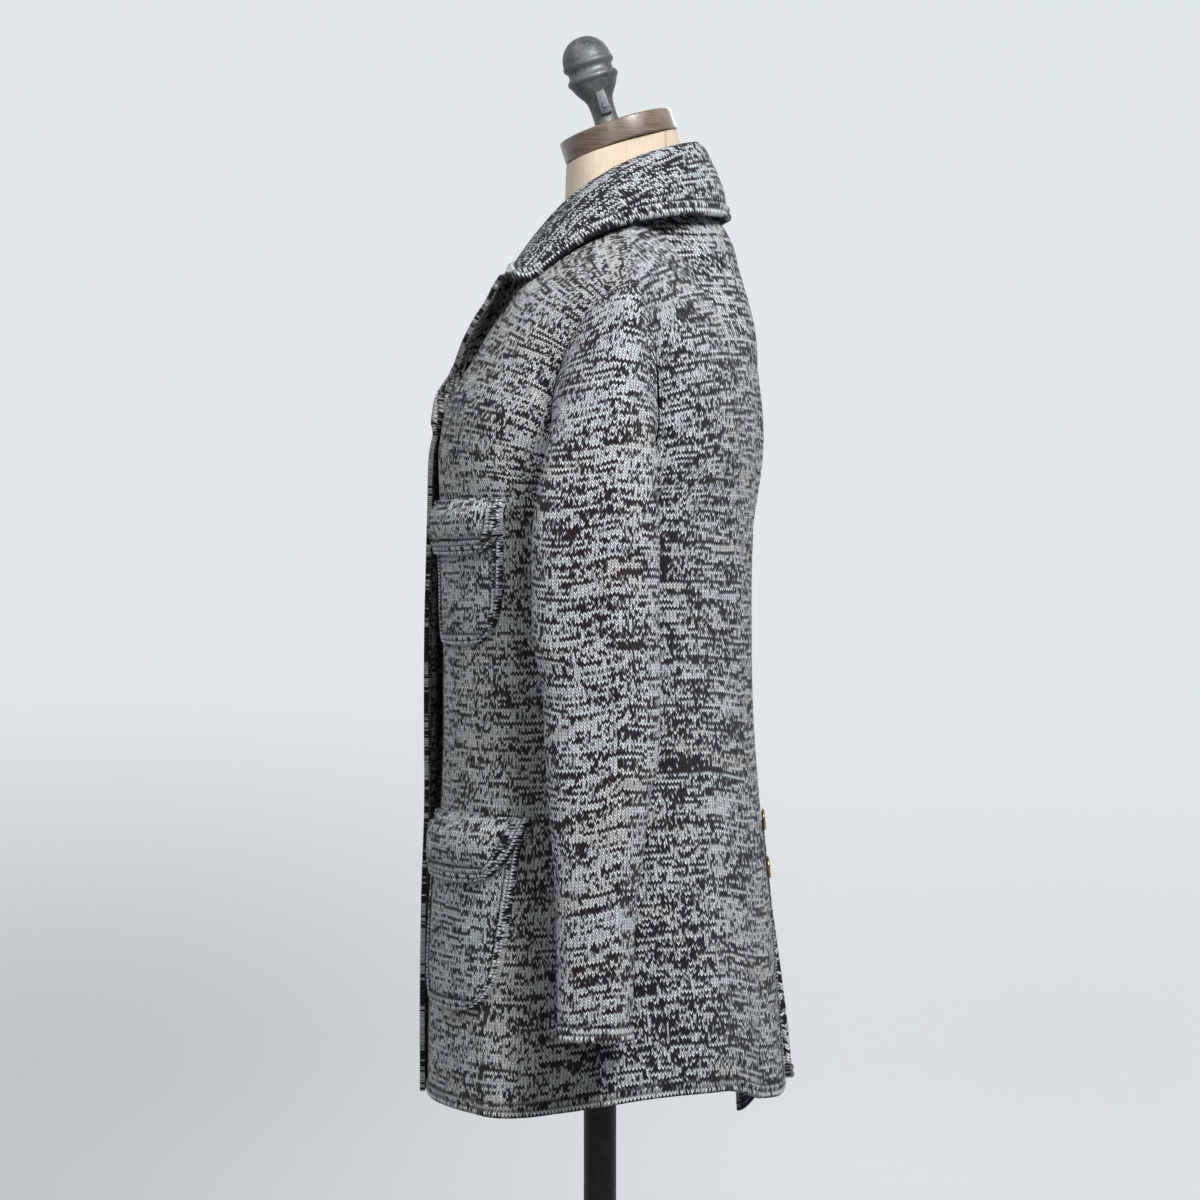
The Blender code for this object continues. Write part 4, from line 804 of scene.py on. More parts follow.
# ---------------------------------------------------------------- backs
def back(side, over):
    """One back; the upper one ends at the vent's edge, the lower one has the strip behind it."""
    node = "back_left" if side > 0 else "back_right"
    courses = panel_courses(((0.0, 0.018),), (VENT_TOP - VENT_PARTS_OVER, 0.002),
                            (VENT_TOP + 0.002, ROW))
    wales = spaced((0.0, 0.0016), (VENT_EDGE, COLUMN), (BACK_WIDTH * BACK_NECK_SHARE, COLUMN),
                   (BACK_WIDTH - BY_SEAM, FINE_COLUMN), end=BACK_WIDTH)
    points = back_surface(courses[:, None], wales[None, :], node)
    points[:, 0, 0] = SEAM / 2
    open_vent = ease((VENT_TOP - courses) / VENT_TOP)
    if over:
        aside = VENT_PARTED * ease((VENT_TOP - courses) / VENT_PARTS_OVER) + VENT_SPREAD * open_vent
        points[..., 0] += aside[:, None] * ease(1 - wales / VENT_EDGE)
    else:
        points[..., 1] += VENT_SINK * open_vent[:, None] * bump(wales / SINK_WIDTH)
    away = -normals(points)
    away[:, 0, 0] *= (courses < VENT_TOP)
    away[:, 0] = unit(away[:, 0])
    yoke = yoke_share(courses)[:, None]
    from_hem = courses[:, None]
    in_vent = from_hem < VENT_TOP
    distance = np.where(in_vent, wales, FAR)
    if not over:
        distance = distance + FAR
    rise = np.maximum(border(distance, EDGE_TRIM), border(from_hem, HEM_TRIM))
    dip = (seam_dip(np.where(in_vent, FAR, wales)) + seam_dip(BACK_WIDTH - wales)
           + seam_dip((1 - yoke) * YOKE_COURSES))
    outer = points + away * (rise + dip)[..., None]
    inner = points - away * CLOTH
    across, up = counted(points, wales)
    under = np.flatnonzero(yoke[:, 0] > 0)[0] - 1
    level = up[under] + points[..., 2] - points[under, :, 2]
    up = np.where(yoke > 0, up + (level - up) * YOKE_LEVEL, up)
    grids = (outer, inner, *panel_maps(across, up, from_hem, distance), None)
    if not over:
        grids = with_underlap(points, courses, open_vent[:, None], *grids[:4])
    return knit_piece(node, side, *grids)


def with_underlap(points, courses, opening_out, outer, inner, stitches, edges):
    """Add the strip that runs on past the centre seam, behind the other back."""
    run = spaced((0.0, 0.0012), (0.010, 0.003), end=UNDERLAP)[None, :0:-1]
    swing = np.radians(UNDERLAP_SWING[0] + UNDERLAP_SWING[1] * opening_out)
    tucked = ((UNDERLAP_TUCK + VENT_SINK * opening_out)
              * ease(run / (UNDERLAP_TUCK + 0.004 * opening_out)))
    start = points[:, :1]
    strip = np.stack((start[..., 0] - run * np.cos(swing),
                      start[..., 1] - run * np.sin(swing) - tucked,
                      start[..., 2] - UNDERLAP_DROP * opening_out * ease(run / UNDERLAP)), axis=-1)
    joined = np.concatenate((strip, points), axis=1)
    inside = joined + normals(joined) * CLOTH
    count = run.shape[1]
    keep = np.ones((len(courses) - 1, joined.shape[1] - 1), bool)
    keep[courses[1:] > VENT_TOP - UNDERLAP_FROM, :count] = False
    low = courses < VENT_TOP - UNDERLAP_FROM
    outer = np.concatenate((strip, outer), axis=1)
    inner = np.concatenate((inside[:, :count], inner), axis=1)
    inner[low, count] = inside[low, count]
    across = stitches[:, :1, 0] - run
    up = stitches[:, :1, 1] + 0 * run
    from_edge = np.minimum(UNDERLAP - run, courses[:, None])
    stitches = np.concatenate((np.stack((across, up), axis=-1), stitches), axis=1)
    edges = np.concatenate((np.stack((up, from_edge), axis=-1), edges), axis=1)
    return outer, inner, stitches, edges, keep


# ---------------------------------------------------------------- sleeves
def sleeve_ring(height, angle):
    """Outer face of the hanging sleeve: angle 0 is next to the body, a quarter turn the front."""
    middle_x, half_x, middle_y, half_y = np.moveaxis(smooth(SLEEVE, height), -1, 0)
    cosine = np.cos(angle)
    sine = np.sin(angle)
    x = middle_x - half_x * np.sign(cosine) * np.abs(cosine) ** SLEEVE_ROUNDNESS
    y = middle_y - half_y * np.sign(sine) * np.abs(sine) ** SLEEVE_ROUNDNESS
    ridge = bump((y - smooth_value(SLEEVE_RIDGE, height)) / RIDGE_WIDTH) * (cosine < 0)
    return np.stack(np.broadcast_arrays(x + RIDGE_RISE * ridge, y, height), axis=-1)


def seam_lean(is_front, share):
    """Direction across the armhole seam."""
    round_hole = math.pi * np.asarray(share, float)
    y = np.sin(round_hole) * (-1 if is_front else 1)
    z = -np.cos(round_hole)
    x = 0.30 + 0.15 * (1 - np.abs(y)) + 0.55 * np.clip(-z, 0, 1) ** 4
    return unit(np.stack(np.broadcast_arrays(x, y, z), axis=-1))


def armhole(shares, is_front):
    """Seam points, seam directions and the directions in which the sleeve sets off."""
    table = FRONT_ARMHOLE if is_front else BACK_ARMHOLE
    points = smooth(table, shares)
    step = 0.004
    along = unit(smooth(table, np.clip(shares + step, 0, 1))
                 - smooth(table, np.clip(shares - step, 0, 1)))
    across = seam_lean(is_front, shares)
    return points, across, unit(np.cross(across, along)) * (-1 if is_front else 1)


def sleeve(side):
    """One sleeve: a cap from the armhole to the hanging tube, which ends at an open cuff."""
    rows_front = spaced((0.0, 0.022), end=1.0)
    rows_back = rows_front[-2:0:-1]
    parts = (armhole(rows_front, True), armhole(rows_back, False))
    start, across, away = (np.concatenate(pair) for pair in zip(*parts))
    angles = np.concatenate((math.pi * rows_front, math.tau - math.pi * rows_back))
    start = start + away * SLEEVE_SEAM
    end = sleeve_ring(np.full(len(angles), SLEEVE_JOIN), angles)
    reach = np.linalg.norm(end - start, axis=1)[:, None]
    leave = away * reach * CAP_LEAVES
    arrive = np.array((0, 0, -1.0)) * reach * CAP_ARRIVES
    grid = [hermite(part, start, end, leave, arrive)
            for part in spaced((0.0, 0.01), (0.04, 0.027), end=1.0)]
    cap_rows = len(grid)
    cuff = SLEEVE[0][0]
    for height in spaced((cuff, FINE_ROW), (cuff + PAST_BORDER, ROW), end=SLEEVE_JOIN)[-2::-1]:
        grid.append(sleeve_ring(np.full(len(angles), height), angles))
    points = np.array(grid)
    height = points[..., 2]

    above_cuff = height - cuff
    above_cuff[:cap_rows] = run_along(points[cap_rows - 1::-1], 0)[::-1] + SLEEVE_JOIN - cuff
    top = len(rows_front) - 1
    steps = np.linalg.norm(np.diff(points, axis=1), axis=-1)
    level = np.sqrt(np.clip(steps ** 2 - np.diff(above_cuff, axis=1) ** 2, 1e-9, None))
    girth = np.concatenate((0 * level[:, :1], np.cumsum(level, axis=1)), axis=1)
    across_run = girth - girth[:, top:top + 1]

    ridge = np.where(height < SLEEVE_JOIN, smooth_value(SLEEVE_RIDGE, height), SLEEVE_RIDGE[-1][1])
    from_ridge = points[..., 1] - ridge
    outside = bump((across_run - 0.01) / 0.10)
    slant = np.where(from_ridge < 0, SLANT_FRONT, SLANT_BACK) * from_ridge * outside
    away = -normals(points, closed=True)
    out = relief("sleeve", above_cuff, across_run) + border(height - cuff, HEM_TRIM)
    out = out + (RIDGE_LINE * bump(from_ridge / RIDGE_LINE_WIDTH) * outside
                 * ease((RIDGE_TOP - height) / RIDGE_FADE))
    out = out + seam_dip(np.clip(run_along(points, 0), 0, 1))
    outer = points + away * out[..., None]
    away[0] = across
    inner = points - away * CLOTH
    stitches = np.stack((across_run, above_cuff + slant), axis=-1)
    edges = np.stack((across_run, height - cuff), axis=-1)
    return knit_piece("sleeve_left" if side > 0 else "sleeve_right", side, outer, inner, stitches,
                      edges, closed=True)


# ---------------------------------------------------------------- collar
def neck_lean(path):
    """Direction across the neck seam."""
    along = np.gradient(path, axis=0)
    away = np.stack((-along[:, 1], along[:, 0], np.zeros(len(path))), axis=1)
    return unit(unit(away) + np.array((0, 0, 0.55)))


def spline(controls, shares):
    """Points at shares of the length of a smooth curve through a few points."""
    controls = np.asarray(controls, float)
    steps = np.sqrt(np.linalg.norm(np.diff(controls, axis=0), axis=1))
    keys = np.concatenate(([0.0], np.cumsum(steps)))
    fine = smooth(np.concatenate((keys[:, None], controls), axis=1), np.linspace(0, keys[-1], 160))
    run = run_along(fine, 0)
    return np.stack([np.interp(shares * run[-1], run, fine[:, axis]) for axis in range(3)], axis=1)


def collar():
    """The whole collar: a stand up from the neck seam, folded over into the fall."""
    back_part = smooth(BACK_NECK, spaced((0.0, 0.017), end=BACK_NECK_SHARE))
    shoulder = len(back_part) - 1
    front_part = smooth(FRONT_OPENING, spaced((GORGE, 0.007), end=1.0)[-2::-1])
    seam = np.concatenate((back_part, front_part))
    across = neck_lean(seam)
    across[0] = unit(across[0] * (0, 1, 1))
    run = run_along(seam, 0)
    share = np.where(run <= run[shoulder], run / run[shoulder] * COLLAR_FRONT_SHARE,
                     COLLAR_FRONT_SHARE + (run - run[shoulder]) / (run[-1] - run[shoulder])
                     * (1 - COLLAR_FRONT_SHARE))
    fold = smooth(COLLAR_FOLD, share)
    edge = smooth(COLLAR_EDGE, share)
    shares = spaced((0.0, 0.03), (0.42, 0.012), (0.60, 0.022), (0.80, 0.010), end=1.0)
    drop = np.array((0, 0, COLLAR_ROLL))
    half = []
    for index, top in enumerate(fold):
        away = unit(across[index] * np.array((1, 1, 0)))
        raised = 0.0012 + 0.0050 * share[index] ** 6
        foot = seam[index] + np.array((0, 0, raised)) - across[index] * CLOTH
        near = top - away * COLLAR_ROLL - drop
        far = top + away * COLLAR_ROLL - drop * 0.8
        belly = far * 0.45 + edge[index] * 0.55 + (away + np.array((0, 0, 0.6))) * COLLAR_BELLY
        half.append(spline((foot, foot * 0.5 + near * 0.5 - away * 0.0006, near, top, far, belly,
                            edge[index]), shares))
    half = np.array(half)
    points = np.swapaxes(np.concatenate((mirrored(half[:0:-1], -1), half)), 0, 1)
    away = normals(points)
    lengths = run_along(points, 0)
    ends = run_along(points, 1)
    from_edge = lengths[-1:] - lengths
    from_end = np.minimum(ends, ends[:, -1:] - ends)
    middle = points.shape[1] // 2
    across_run = ends - ends[:, middle:middle + 1]
    corner = np.hypot(np.clip(COLLAR_CORNER - from_edge, 0, None),
                      np.clip(COLLAR_CORNER - from_end, 0, None))
    near_edge = (corner > 0) & (lengths > COLLAR_FALL * lengths[-1:])
    distance = np.where(near_edge, np.clip(COLLAR_CORNER - corner, 0, None), FAR)
    rise = border(distance, COLLAR_TRIM) * ease((lengths / lengths[-1:] - COLLAR_FALL) / 0.16)
    outer = points + away * rise[..., None]
    inner = points - away * CLOTH
    inner[0] = points[0] + np.concatenate((mirrored(across[:0:-1], -1), across)) * CLOTH
    stitches = np.stack((across_run, lengths), axis=-1)
    edges = np.stack((np.where(from_edge < from_end, across_run, lengths), distance), axis=-1)
    return knit_piece("collar", 1, outer, inner, stitches, edges)


# ---------------------------------------------------------------- pockets and flaps
def pocket(row, side, over):
    """A pocket or flap laid on a front."""
    name, start, end, top, bottom, taper, radius = row
    is_flap = "flap" in name
    height = top - bottom
    half_columns = spaced((0.0, 0.055), (0.76, 0.018), end=1.0)
    columns = np.concatenate((-half_columns[:0:-1], half_columns))
    down = spaced((0.0, 0.0035), (height - 0.016, 0.0011), end=height)[:, None]
    into = np.clip((down - (height - radius)) / radius, 0, 1)
    half = (end - start) / 2 * (1 - taper * down / height)
    half = half - radius * (1 - np.sqrt(1 - into ** 2 * CORNER_CUT)) * CORNER_WIDTH
    middle = (start + end) / 2 - (end - start) / 2 * taper * down / height * 0.5
    wales = middle + half * columns
    courses = (top - down) - CORNER_BOW * radius * (1 - columns ** 2) * into
    from_side = half * (1 - np.abs(columns))
    from_bottom = height - down
    distance = np.minimum(from_side, from_bottom)
    base = front_surface(courses, wales, over)
    out = facing(lambda c, w: front_surface(c, w, over), courses, wales, 1)
    if is_flap:
        puff = FLAP_PUFF * np.sin(math.pi * np.clip(down / height, 0, 1)) ** 0.7
        lift = smooth_value(FLAP_LIFTS, down / height) + puff * ease(distance / PUFF_REACH)
        thick = border(distance, FLAP_TRIM, 3)
    else:
        lift = LAID + POCKET_PUFF * ease(distance / PUFF_REACH)
        thick = border(distance, POCKET_TRIM)
    rolled = np.sqrt(1 - (1 - np.clip(distance / EDGE_ROLL, 0, 1)) ** 2)
    thick = CLOTH * (EDGE_THIN + (1 - EDGE_THIN) * rolled) + thick
    outer = base + out * (lift + thick)[..., None]
    inner = base + out * lift[..., None]
    edges = np.stack((np.where(from_side < from_bottom, courses, wales), distance), axis=-1)
    stitches = np.stack((wales, courses), axis=-1) + np.array(POCKET_OFFSET)
    grids = (grid[::-1] for grid in (outer, inner, stitches, edges))
    return knit_piece(name + ("_left" if side > 0 else "_right"), side, *grids)


# ---------------------------------------------------------------- the dress form
def form_ring(row, angles):
    """One ring of the form, tipped so that its front is lower than its back."""
    height, width, front_depth, back_depth, tip = row
    cosine = np.cos(angles)
    y = np.where(cosine > 0, -front_depth * cosine, -back_depth * cosine)
    z = height + tip * (y - (back_depth - front_depth) / 2) / (back_depth + front_depth)
    return np.stack((width * np.sin(angles), y, z), axis=1)


def form_torso(cloth):
    """The padded linen body, drawn in wherever the cloth rests on it."""
    levels = spaced((FORM[0][0], 0.004), (FORM[1][0], 0.012), (1.235, 0.006), end=FORM[-1][0])
    angles = np.arange(FORM_SIDES) * math.tau / FORM_SIDES
    figure = np.array([form_ring((level, *smooth(FORM, level)), angles) for level in levels])
    trees = [BVHTree.FromObject(piece, bpy.context.evaluated_depsgraph_get()) for piece in cloth]
    middles = (figure[:, 0] + figure[:, FORM_SIDES // 2]) / 2
    shares = np.ones(figure.shape[:2])
    for row, points in enumerate(figure):
        for column, point in enumerate(points):
            axis = np.array((0.0, middles[row, 1], point[2]))
            length = np.linalg.norm(point - axis)
            hits = [tree.ray_cast(axis, (point - axis) / length)[3] for tree in trees]
            room = min([hit for hit in hits if hit is not None], default=1.0)
            shares[row, column] = min(1.0, (room - FORM_CLEARANCE) / length)
    for _ in range(2):
        padded = np.pad(shares, ((1, 1), (0, 0)), mode="edge")
        shares = np.minimum(np.minimum(padded[:-2], padded[1:-1]), padded[2:])
        shares = np.minimum(np.minimum(np.roll(shares, 1, 1), shares), np.roll(shares, -1, 1))
    axes = np.stack((np.zeros_like(shares), middles[:, 1:2] + 0 * shares, figure[..., 2]), axis=-1)
    points = axes + (figure - axes) * shares[..., None]
    body = bmesh.new()
    bmesh.ops.create_grid(body, x_segments=FORM_SIDES, y_segments=len(levels) - 1, size=1)
    for vert in body.verts:
        column = round((vert.co.x + 1) / 2 * FORM_SIDES) % FORM_SIDES
        row = round((vert.co.y + 1) / 2 * (len(levels) - 1))
        vert.co = points[row, column]
    bmesh.ops.remove_doubles(body, verts=body.verts, dist=1e-6)
    rims = [edge for edge in body.edges if edge.is_boundary]
    bmesh.ops.edgeloop_fill(body, edges=rims)
    bmesh.ops.recalc_face_normals(body, faces=body.faces)
    return keep_mesh("form_torso_linen", body)


def dress(made, node, material):
    """Give a piece its material and let it stand for its solid."""
    made.data.materials.append(material)
    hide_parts(node)
    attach(made, "root")
    return made


# ---------------------------------------------------------------- materials
class Amount:
    """A number that changes over a surface; each sum done with it lays out one Math node."""

    def __init__(self, dye, socket):
        self.dye = dye
        self.socket = socket

    def __add__(self, other):
        return self.dye.math("ADD", self, other)

    def __sub__(self, other):
        return self.dye.math("SUBTRACT", self, other)

    def __mul__(self, other):
        return self.dye.math("MULTIPLY", self, other)

    def __truediv__(self, other):
        return self.dye.math("DIVIDE", self, other)

    def __pow__(self, other):
        return self.dye.math("POWER", self, other)

    def __abs__(self):
        return self.dye.math("ABSOLUTE", self)

    def times(self, factor, plus):
        """This number times a factor, plus another number."""
        return self.dye.math("MULTIPLY_ADD", self, factor, plus)


class Dye:
    """Short words for laying out the nodes of one material."""

    def __init__(self, name, roughness, metallic=0.0):
        self.material = bpy.data.materials.new(name)
        self.material.use_nodes = True
        self.tree = self.material.node_tree
        self.shader = self.tree.nodes["Principled BSDF"]
        self.put(self.shader, {"Roughness": roughness, "Metallic": metallic})

    def add(self, kind, inputs, output=0):
        """One node with its inputs set or linked, and one of its outputs."""
        node = self.tree.nodes.new("ShaderNode" + kind)
        self.put(node, inputs)
        return node, Amount(self, node.outputs[output])

    def put(self, node, inputs):
        """Set or link each input of a node."""
        for key, value in inputs.items():
            value = value.socket if isinstance(value, Amount) else value
            if isinstance(value, bpy.types.NodeSocket):
                self.tree.links.new(value, node.inputs[key])
            elif value is not None:
                node.inputs[key].default_value = value

    def math(self, kind, first, second=None, third=None):
        """One Math node."""
        node, amount = self.add("Math", {0: first, 1: second, 2: third})
        node.operation = kind
        return amount

    def between(self, value, low, high, start=0.0, stop=1.0):
        """A value taken smoothly from one range to another."""
        node, amount = self.add("MapRange", {"Value": value, "From Min": low, "From Max": high,
                                             "To Min": start, "To Max": stop})
        node.interpolation_type = "SMOOTHSTEP"
        return amount

    def vector(self, x, y, z=0.0):
        """Three values as a vector."""
        return self.add("CombineXYZ", {0: x, 1: y, 2: z})[1]

    def parts(self, vector):
        """The three values of a vector."""
        node, _ = self.add("SeparateXYZ", {0: vector})
        return [Amount(self, output) for output in node.outputs]

    def cloud(self, vector, scale, detail=0.0):
        """Smooth noise from 0 to 1."""
        return self.add("TexNoise", {"Vector": vector, "Scale": scale, "Detail": detail}, "Fac")[1]

    def chance(self, x, y, z):
        """A random value for each whole-numbered place."""
        return self.add("TexWhiteNoise", {"Vector": self.vector(x, y, z)}, "Value")[1]

    def blend(self, part, first, second, kind="MIX"):
        """Two colours mixed."""
        node = self.tree.nodes.new("ShaderNodeMix")
        node.data_type = "RGBA"
        node.blend_type = kind
        first, second = ((*colour, 1.0) if isinstance(colour, tuple) else colour
                         for colour in (first, second))
        self.put(node, {0: part, 6: first, 7: second})
        return node.outputs[2]

    def place(self, stretch=(1, 1, 1), turn_by=(0, 0, 0)):
        """Object coordinates, stretched and turned."""
        coordinates = self.tree.nodes.new("ShaderNodeTexCoord")
        mapping = self.tree.nodes.new("ShaderNodeMapping")
        mapping.inputs["Rotation"].default_value = turn_by
        mapping.inputs["Scale"].default_value = stretch
        self.tree.links.new(coordinates.outputs["Object"], mapping.inputs["Vector"])
        return mapping.outputs[0]

    def map(self, name):
        """One of the piece's own maps."""
        node = self.tree.nodes.new("ShaderNodeUVMap")
        node.uv_map = name
        return node.outputs[0]

    def finish(self, colour, height=None, distance=0.001, strength=1.0, roughness=None):
        """Join colour, relief and gloss to the shader."""
        self.put(self.shader, {"Base Color": colour, "Roughness": roughness})
        if height is not None:
            _, bumped = self.add("Bump", {"Distance": distance, "Strength": strength,
                                          "Height": height})
            self.put(self.shader, {"Normal": bumped})
        return self.material


def melange_knit(name, trim, pale, warm_pale, dark, warm_dark, lightness, ribs=2, edge_tone=0.25,
                 painted_sleeve_shadow=1.0):
    """Plain knit in yarn that changes between pale and dark, with a border along its edges.

    A stitch has two legs that lean together. The first half lays the stitches out, the second
    chooses which legs are pale and paints shade on them: between the stitches, in the grooves of
    the border and behind it, and, on the front, the sleeve's shadow. Lightness is the share of pale
    ones.
    """
    dye = Dye(name, 0.92)
    dye.put(dye.shader, {"Sheen Weight": 0.08, "Sheen Roughness": 0.55, "Specular IOR Level": 0.22})
    across, up, _ = dye.parts(dye.map("Stitches"))
    run, inward, _ = dye.parts(dye.map("Border"))
    in_border = dye.math("LESS_THAN", inward, trim)
    flat = dye.vector(across, up)
    sway = (dye.cloud(flat, 70.0) - 0.5) * 0.0020
    swing = (dye.cloud(flat, 40.0, 1.0) - 0.5) * 0.0040

    def chosen(plain, bordered):
        """The border's value in the border, else the plain knit's."""
        return (bordered - plain).times(in_border, plain)

    wale = chosen((across + sway) / STITCH_WIDTH, run / STITCH_WIDTH + BORDER_WALES)
    course = chosen((up + swing) / STITCH_HEIGHT, inward / (trim / (ribs + 1)))
    column = dye.math("FLOOR", wale)
    part = dye.math("FRACT", wale)
    off_middle = abs(part - 0.5) * 2.0
    leaning = off_middle.times(-LEG_LEAN, course)
    row = dye.math("FLOOR", leaning)
    hump = dye.math("SUBTRACT", 1.0, abs(dye.math("FRACT", leaning).times(2.0, -1.0)) ** 1.5)
    between_wales = (off_middle ** 1.8).times(-0.92, 1.0)
    down_middle = dye.between(off_middle, 0.0, 0.30, 0.55, 1.0)
    height = hump * (between_wales * down_middle)

    leg = column.times(2.0, dye.math("GREATER_THAN", part, 0.5))
    long_run = dye.cloud(dye.vector(wale * 0.105, row * 5.37, 0.41), 1.0)
    short_run = dye.cloud(dye.vector(wale.times(0.40, 57.0), row * 7.91, 0.37), 1.0)
    patches = dye.cloud(dye.vector(wale * 0.030, row * 0.17, 0.63), 1.0, 1.0)
    by_rows = dye.math("SINE", row.times(2.62, patches * 14.0))
    likely = (long_run - 0.5).times(1.40, lightness)
    likely = (short_run - 0.5).times(0.75, likely)
    likely = (patches - 0.5).times(0.3, likely)
    likely = by_rows.times(0.15, likely)
    likely = in_border.times(0.04, likely)
    needed = dye.chance(column, row, 3.0).times(0.60, dye.chance(leg, row, 5.0).times(0.64, -0.12))
    is_pale = dye.between(likely - needed, -0.11, 0.11)

    warm_cloud = dye.cloud(dye.vector(across * 9.0, up * 30.0), 1.0, 2.0)
    pale_yarn = dye.blend(dye.between(warm_cloud, 0.45, 0.70, 0.0, 0.55), pale, warm_pale)
    dark_yarn = dye.blend(dye.between(short_run, 0.35, 0.65), dark, warm_dark)
    yarn = dye.blend(is_pale, dark_yarn, pale_yarn)
    fibre = dye.cloud(flat, 5200.0, 1.0)
    # Random tone for each leg, times painted shade between the legs and rows that follows each
    # stitch's height.
    tone = dye.chance(leg, row, 11.0).times(0.46, 0.74) * height.times(1.42, 0.10)
    tone = tone * fibre.times(0.30, 0.85)
    # Painted shade in the grooves between a border's ribs, lightened towards its outer edge by
    # edge_tone, then a painted shadow line in the groove behind the border.
    rib = abs(dye.math("SINE", inward * (math.pi * ribs / trim))) ** 0.7
    round_edge = dye.between(inward, 0.0, trim / (2 * ribs), edge_tone, 0.0)
    rib = dye.math("MAXIMUM", rib, round_edge)
    shaded = (rib.times(0.88, 0.22) - 1.0).times(in_border, 1.0)
    behind = abs(inward - (trim + GROOVE_BEHIND))
    tone = tone * (shaded * dye.between(behind, 0.0, GROOVE_WIDTH, 0.22, 1.0))
    # Painted shadow of the sleeve: the front is darkened by this factor towards the side seam,
    # fading out between heights 1.08 and 1.22 m.
    if painted_sleeve_shadow < 1:
        _, forward, level = dye.parts(dye.place())
        sleeve_shadow_mask = (dye.between(forward, -0.086, -0.060)
                     * dye.between(level, 1.08, 1.22, 1.0, 0.0))
        tone = tone * sleeve_shadow_mask.times(painted_sleeve_shadow - 1, 1.0)
    yarn = dye.blend(1.0, yarn, dye.vector(tone, tone, tone), "MULTIPLY")
    return dye.finish(yarn, fibre.times(0.12, height), 0.0011, 0.85)


def linen_cover():
    """Cream linen, woven fine, with a sewn line down each quarter of the form."""
    dye = Dye("cream_linen", 0.85)
    dye.put(dye.shader, {"Sheen Weight": 0.10})
    place = dye.place()
    x, y, _ = dye.parts(place)
    warp = dye.cloud(dye.place((900, 900, 14)), 1.0, 2.0)
    weave = warp + dye.cloud(dye.place((160, 160, 2600)), 1.0, 1.0)
    seam_front = dye.between(abs(x), 0.0004, 0.0013)
    seam_line = seam_front * dye.between(abs(y - 0.056), 0.0004, 0.0016)
    stain = dye.cloud(place, 14.0, 3.0)
    colour = dye.blend(dye.between(weave, 0.75, 1.25), (0.67, 0.545, 0.41), (0.77, 0.655, 0.52))
    colour = dye.blend(dye.between(stain, 0.35, 0.75, 0.0, 0.30), colour, (0.74, 0.60, 0.44))
    colour = dye.blend(seam_line, (0.58, 0.42, 0.27), colour)
    return dye.finish(colour, seam_line.times(1.5, weave * 0.5), 0.0004, 0.6)


def stained_wood():
    """The neck cap's wood, stained dark brown and waxed, with its grain running round."""
    dye = Dye("stained_wood", 0.36)
    dye.put(dye.shader, {"Coat Weight": 0.60, "Coat Roughness": 0.26})
    grain = dye.cloud(dye.place((42, 42, 1100), (NECK_LEAN, 0, 0)), 1.0, 2.0)
    mottle = dye.cloud(dye.place(), 45.0, 4.0)
    colour = dye.blend(dye.between(grain, 0.3, 0.7), (0.115, 0.078, 0.056), (0.215, 0.158, 0.120))
    colour = dye.blend(dye.between(mottle, 0.42, 0.70, 0.0, 0.6), colour, (0.235, 0.190, 0.155))
    gloss = dye.between(grain, 0.2, 0.8, 0.30, 0.46)
    return dye.finish(colour, grain, 0.0003, 0.35, gloss)


def cast_pewter():
    """Grey cast metal with a dull, pitted skin, rubbed brighter on its ridges."""
    dye = Dye("cast_pewter", 0.5, 0.55)
    pits = dye.cloud(dye.place(), 420.0, 4.0)
    mottle = dye.cloud(dye.place(), 60.0, 3.0)
    drawn = dye.cloud(dye.place((300, 300, 40), (NECK_LEAN, 0, 0)), 1.0, 2.0)
    colour = dye.blend(dye.between(mottle, 0.35, 0.65), (0.100, 0.118, 0.126),
                       (0.185, 0.208, 0.216))
    colour = dye.blend(dye.between(pits, 0.45, 0.75, 0.0, 0.55), colour, (0.240, 0.245, 0.235))
    colour = dye.blend(dye.between(drawn, 0.50, 0.78, 0.0, 0.35), colour, (0.225, 0.215, 0.175))
    gloss = dye.between(pits, 0.3, 0.7, 0.40, 0.62)
    return dye.finish(colour, pits, 0.0006, 0.55, gloss)


def black_iron():
    """Black painted iron, faintly speckled and worn."""
    dye = Dye("black_iron", 0.42, 0.6)
    grain = dye.cloud(dye.place(), 900.0, 3.0)
    worn = dye.cloud(dye.place(), 34.0, 5.0)
    colour = dye.blend(dye.between(grain, 0.40, 0.70), (0.020, 0.020, 0.022), (0.048, 0.048, 0.050))
    colour = dye.blend(dye.between(worn, 0.54, 0.80, 0.0, 0.35), colour, (0.090, 0.086, 0.080))
    gloss = dye.between(worn, 0.3, 0.7, 0.36, 0.52)
    return dye.finish(colour, grain, 0.0004, 0.4, gloss)


def old_brass():
    """Brass with a brown bloom in its hollows."""
    dye = Dye("old_brass", 0.3, 1.0)
    bloom = dye.cloud(dye.place(), 160.0, 3.0)
    fine = dye.cloud(dye.place(), 1500.0, 2.0)
    colour = dye.blend(dye.between(bloom, 0.42, 0.68), (0.66, 0.46, 0.19), (0.30, 0.19, 0.085))
    gloss = dye.between(fine, 0.3, 0.7, 0.22, 0.42)
    return dye.finish(colour, fine, 0.0002, 0.3, gloss)


PALE = (0.860, 0.925, 1.000)
COOL_PALE = (0.840, 0.920, 0.980)
GREY_PALE = (0.900, 0.925, 0.945)
WARM_PALE = (0.900, 0.840, 0.760)
NAVY = (0.018, 0.016, 0.032)
PLUM = (0.030, 0.016, 0.025)
BROWN_BLACK = (0.026, 0.018, 0.018)
BLUE_BLACK = (0.015, 0.017, 0.026)
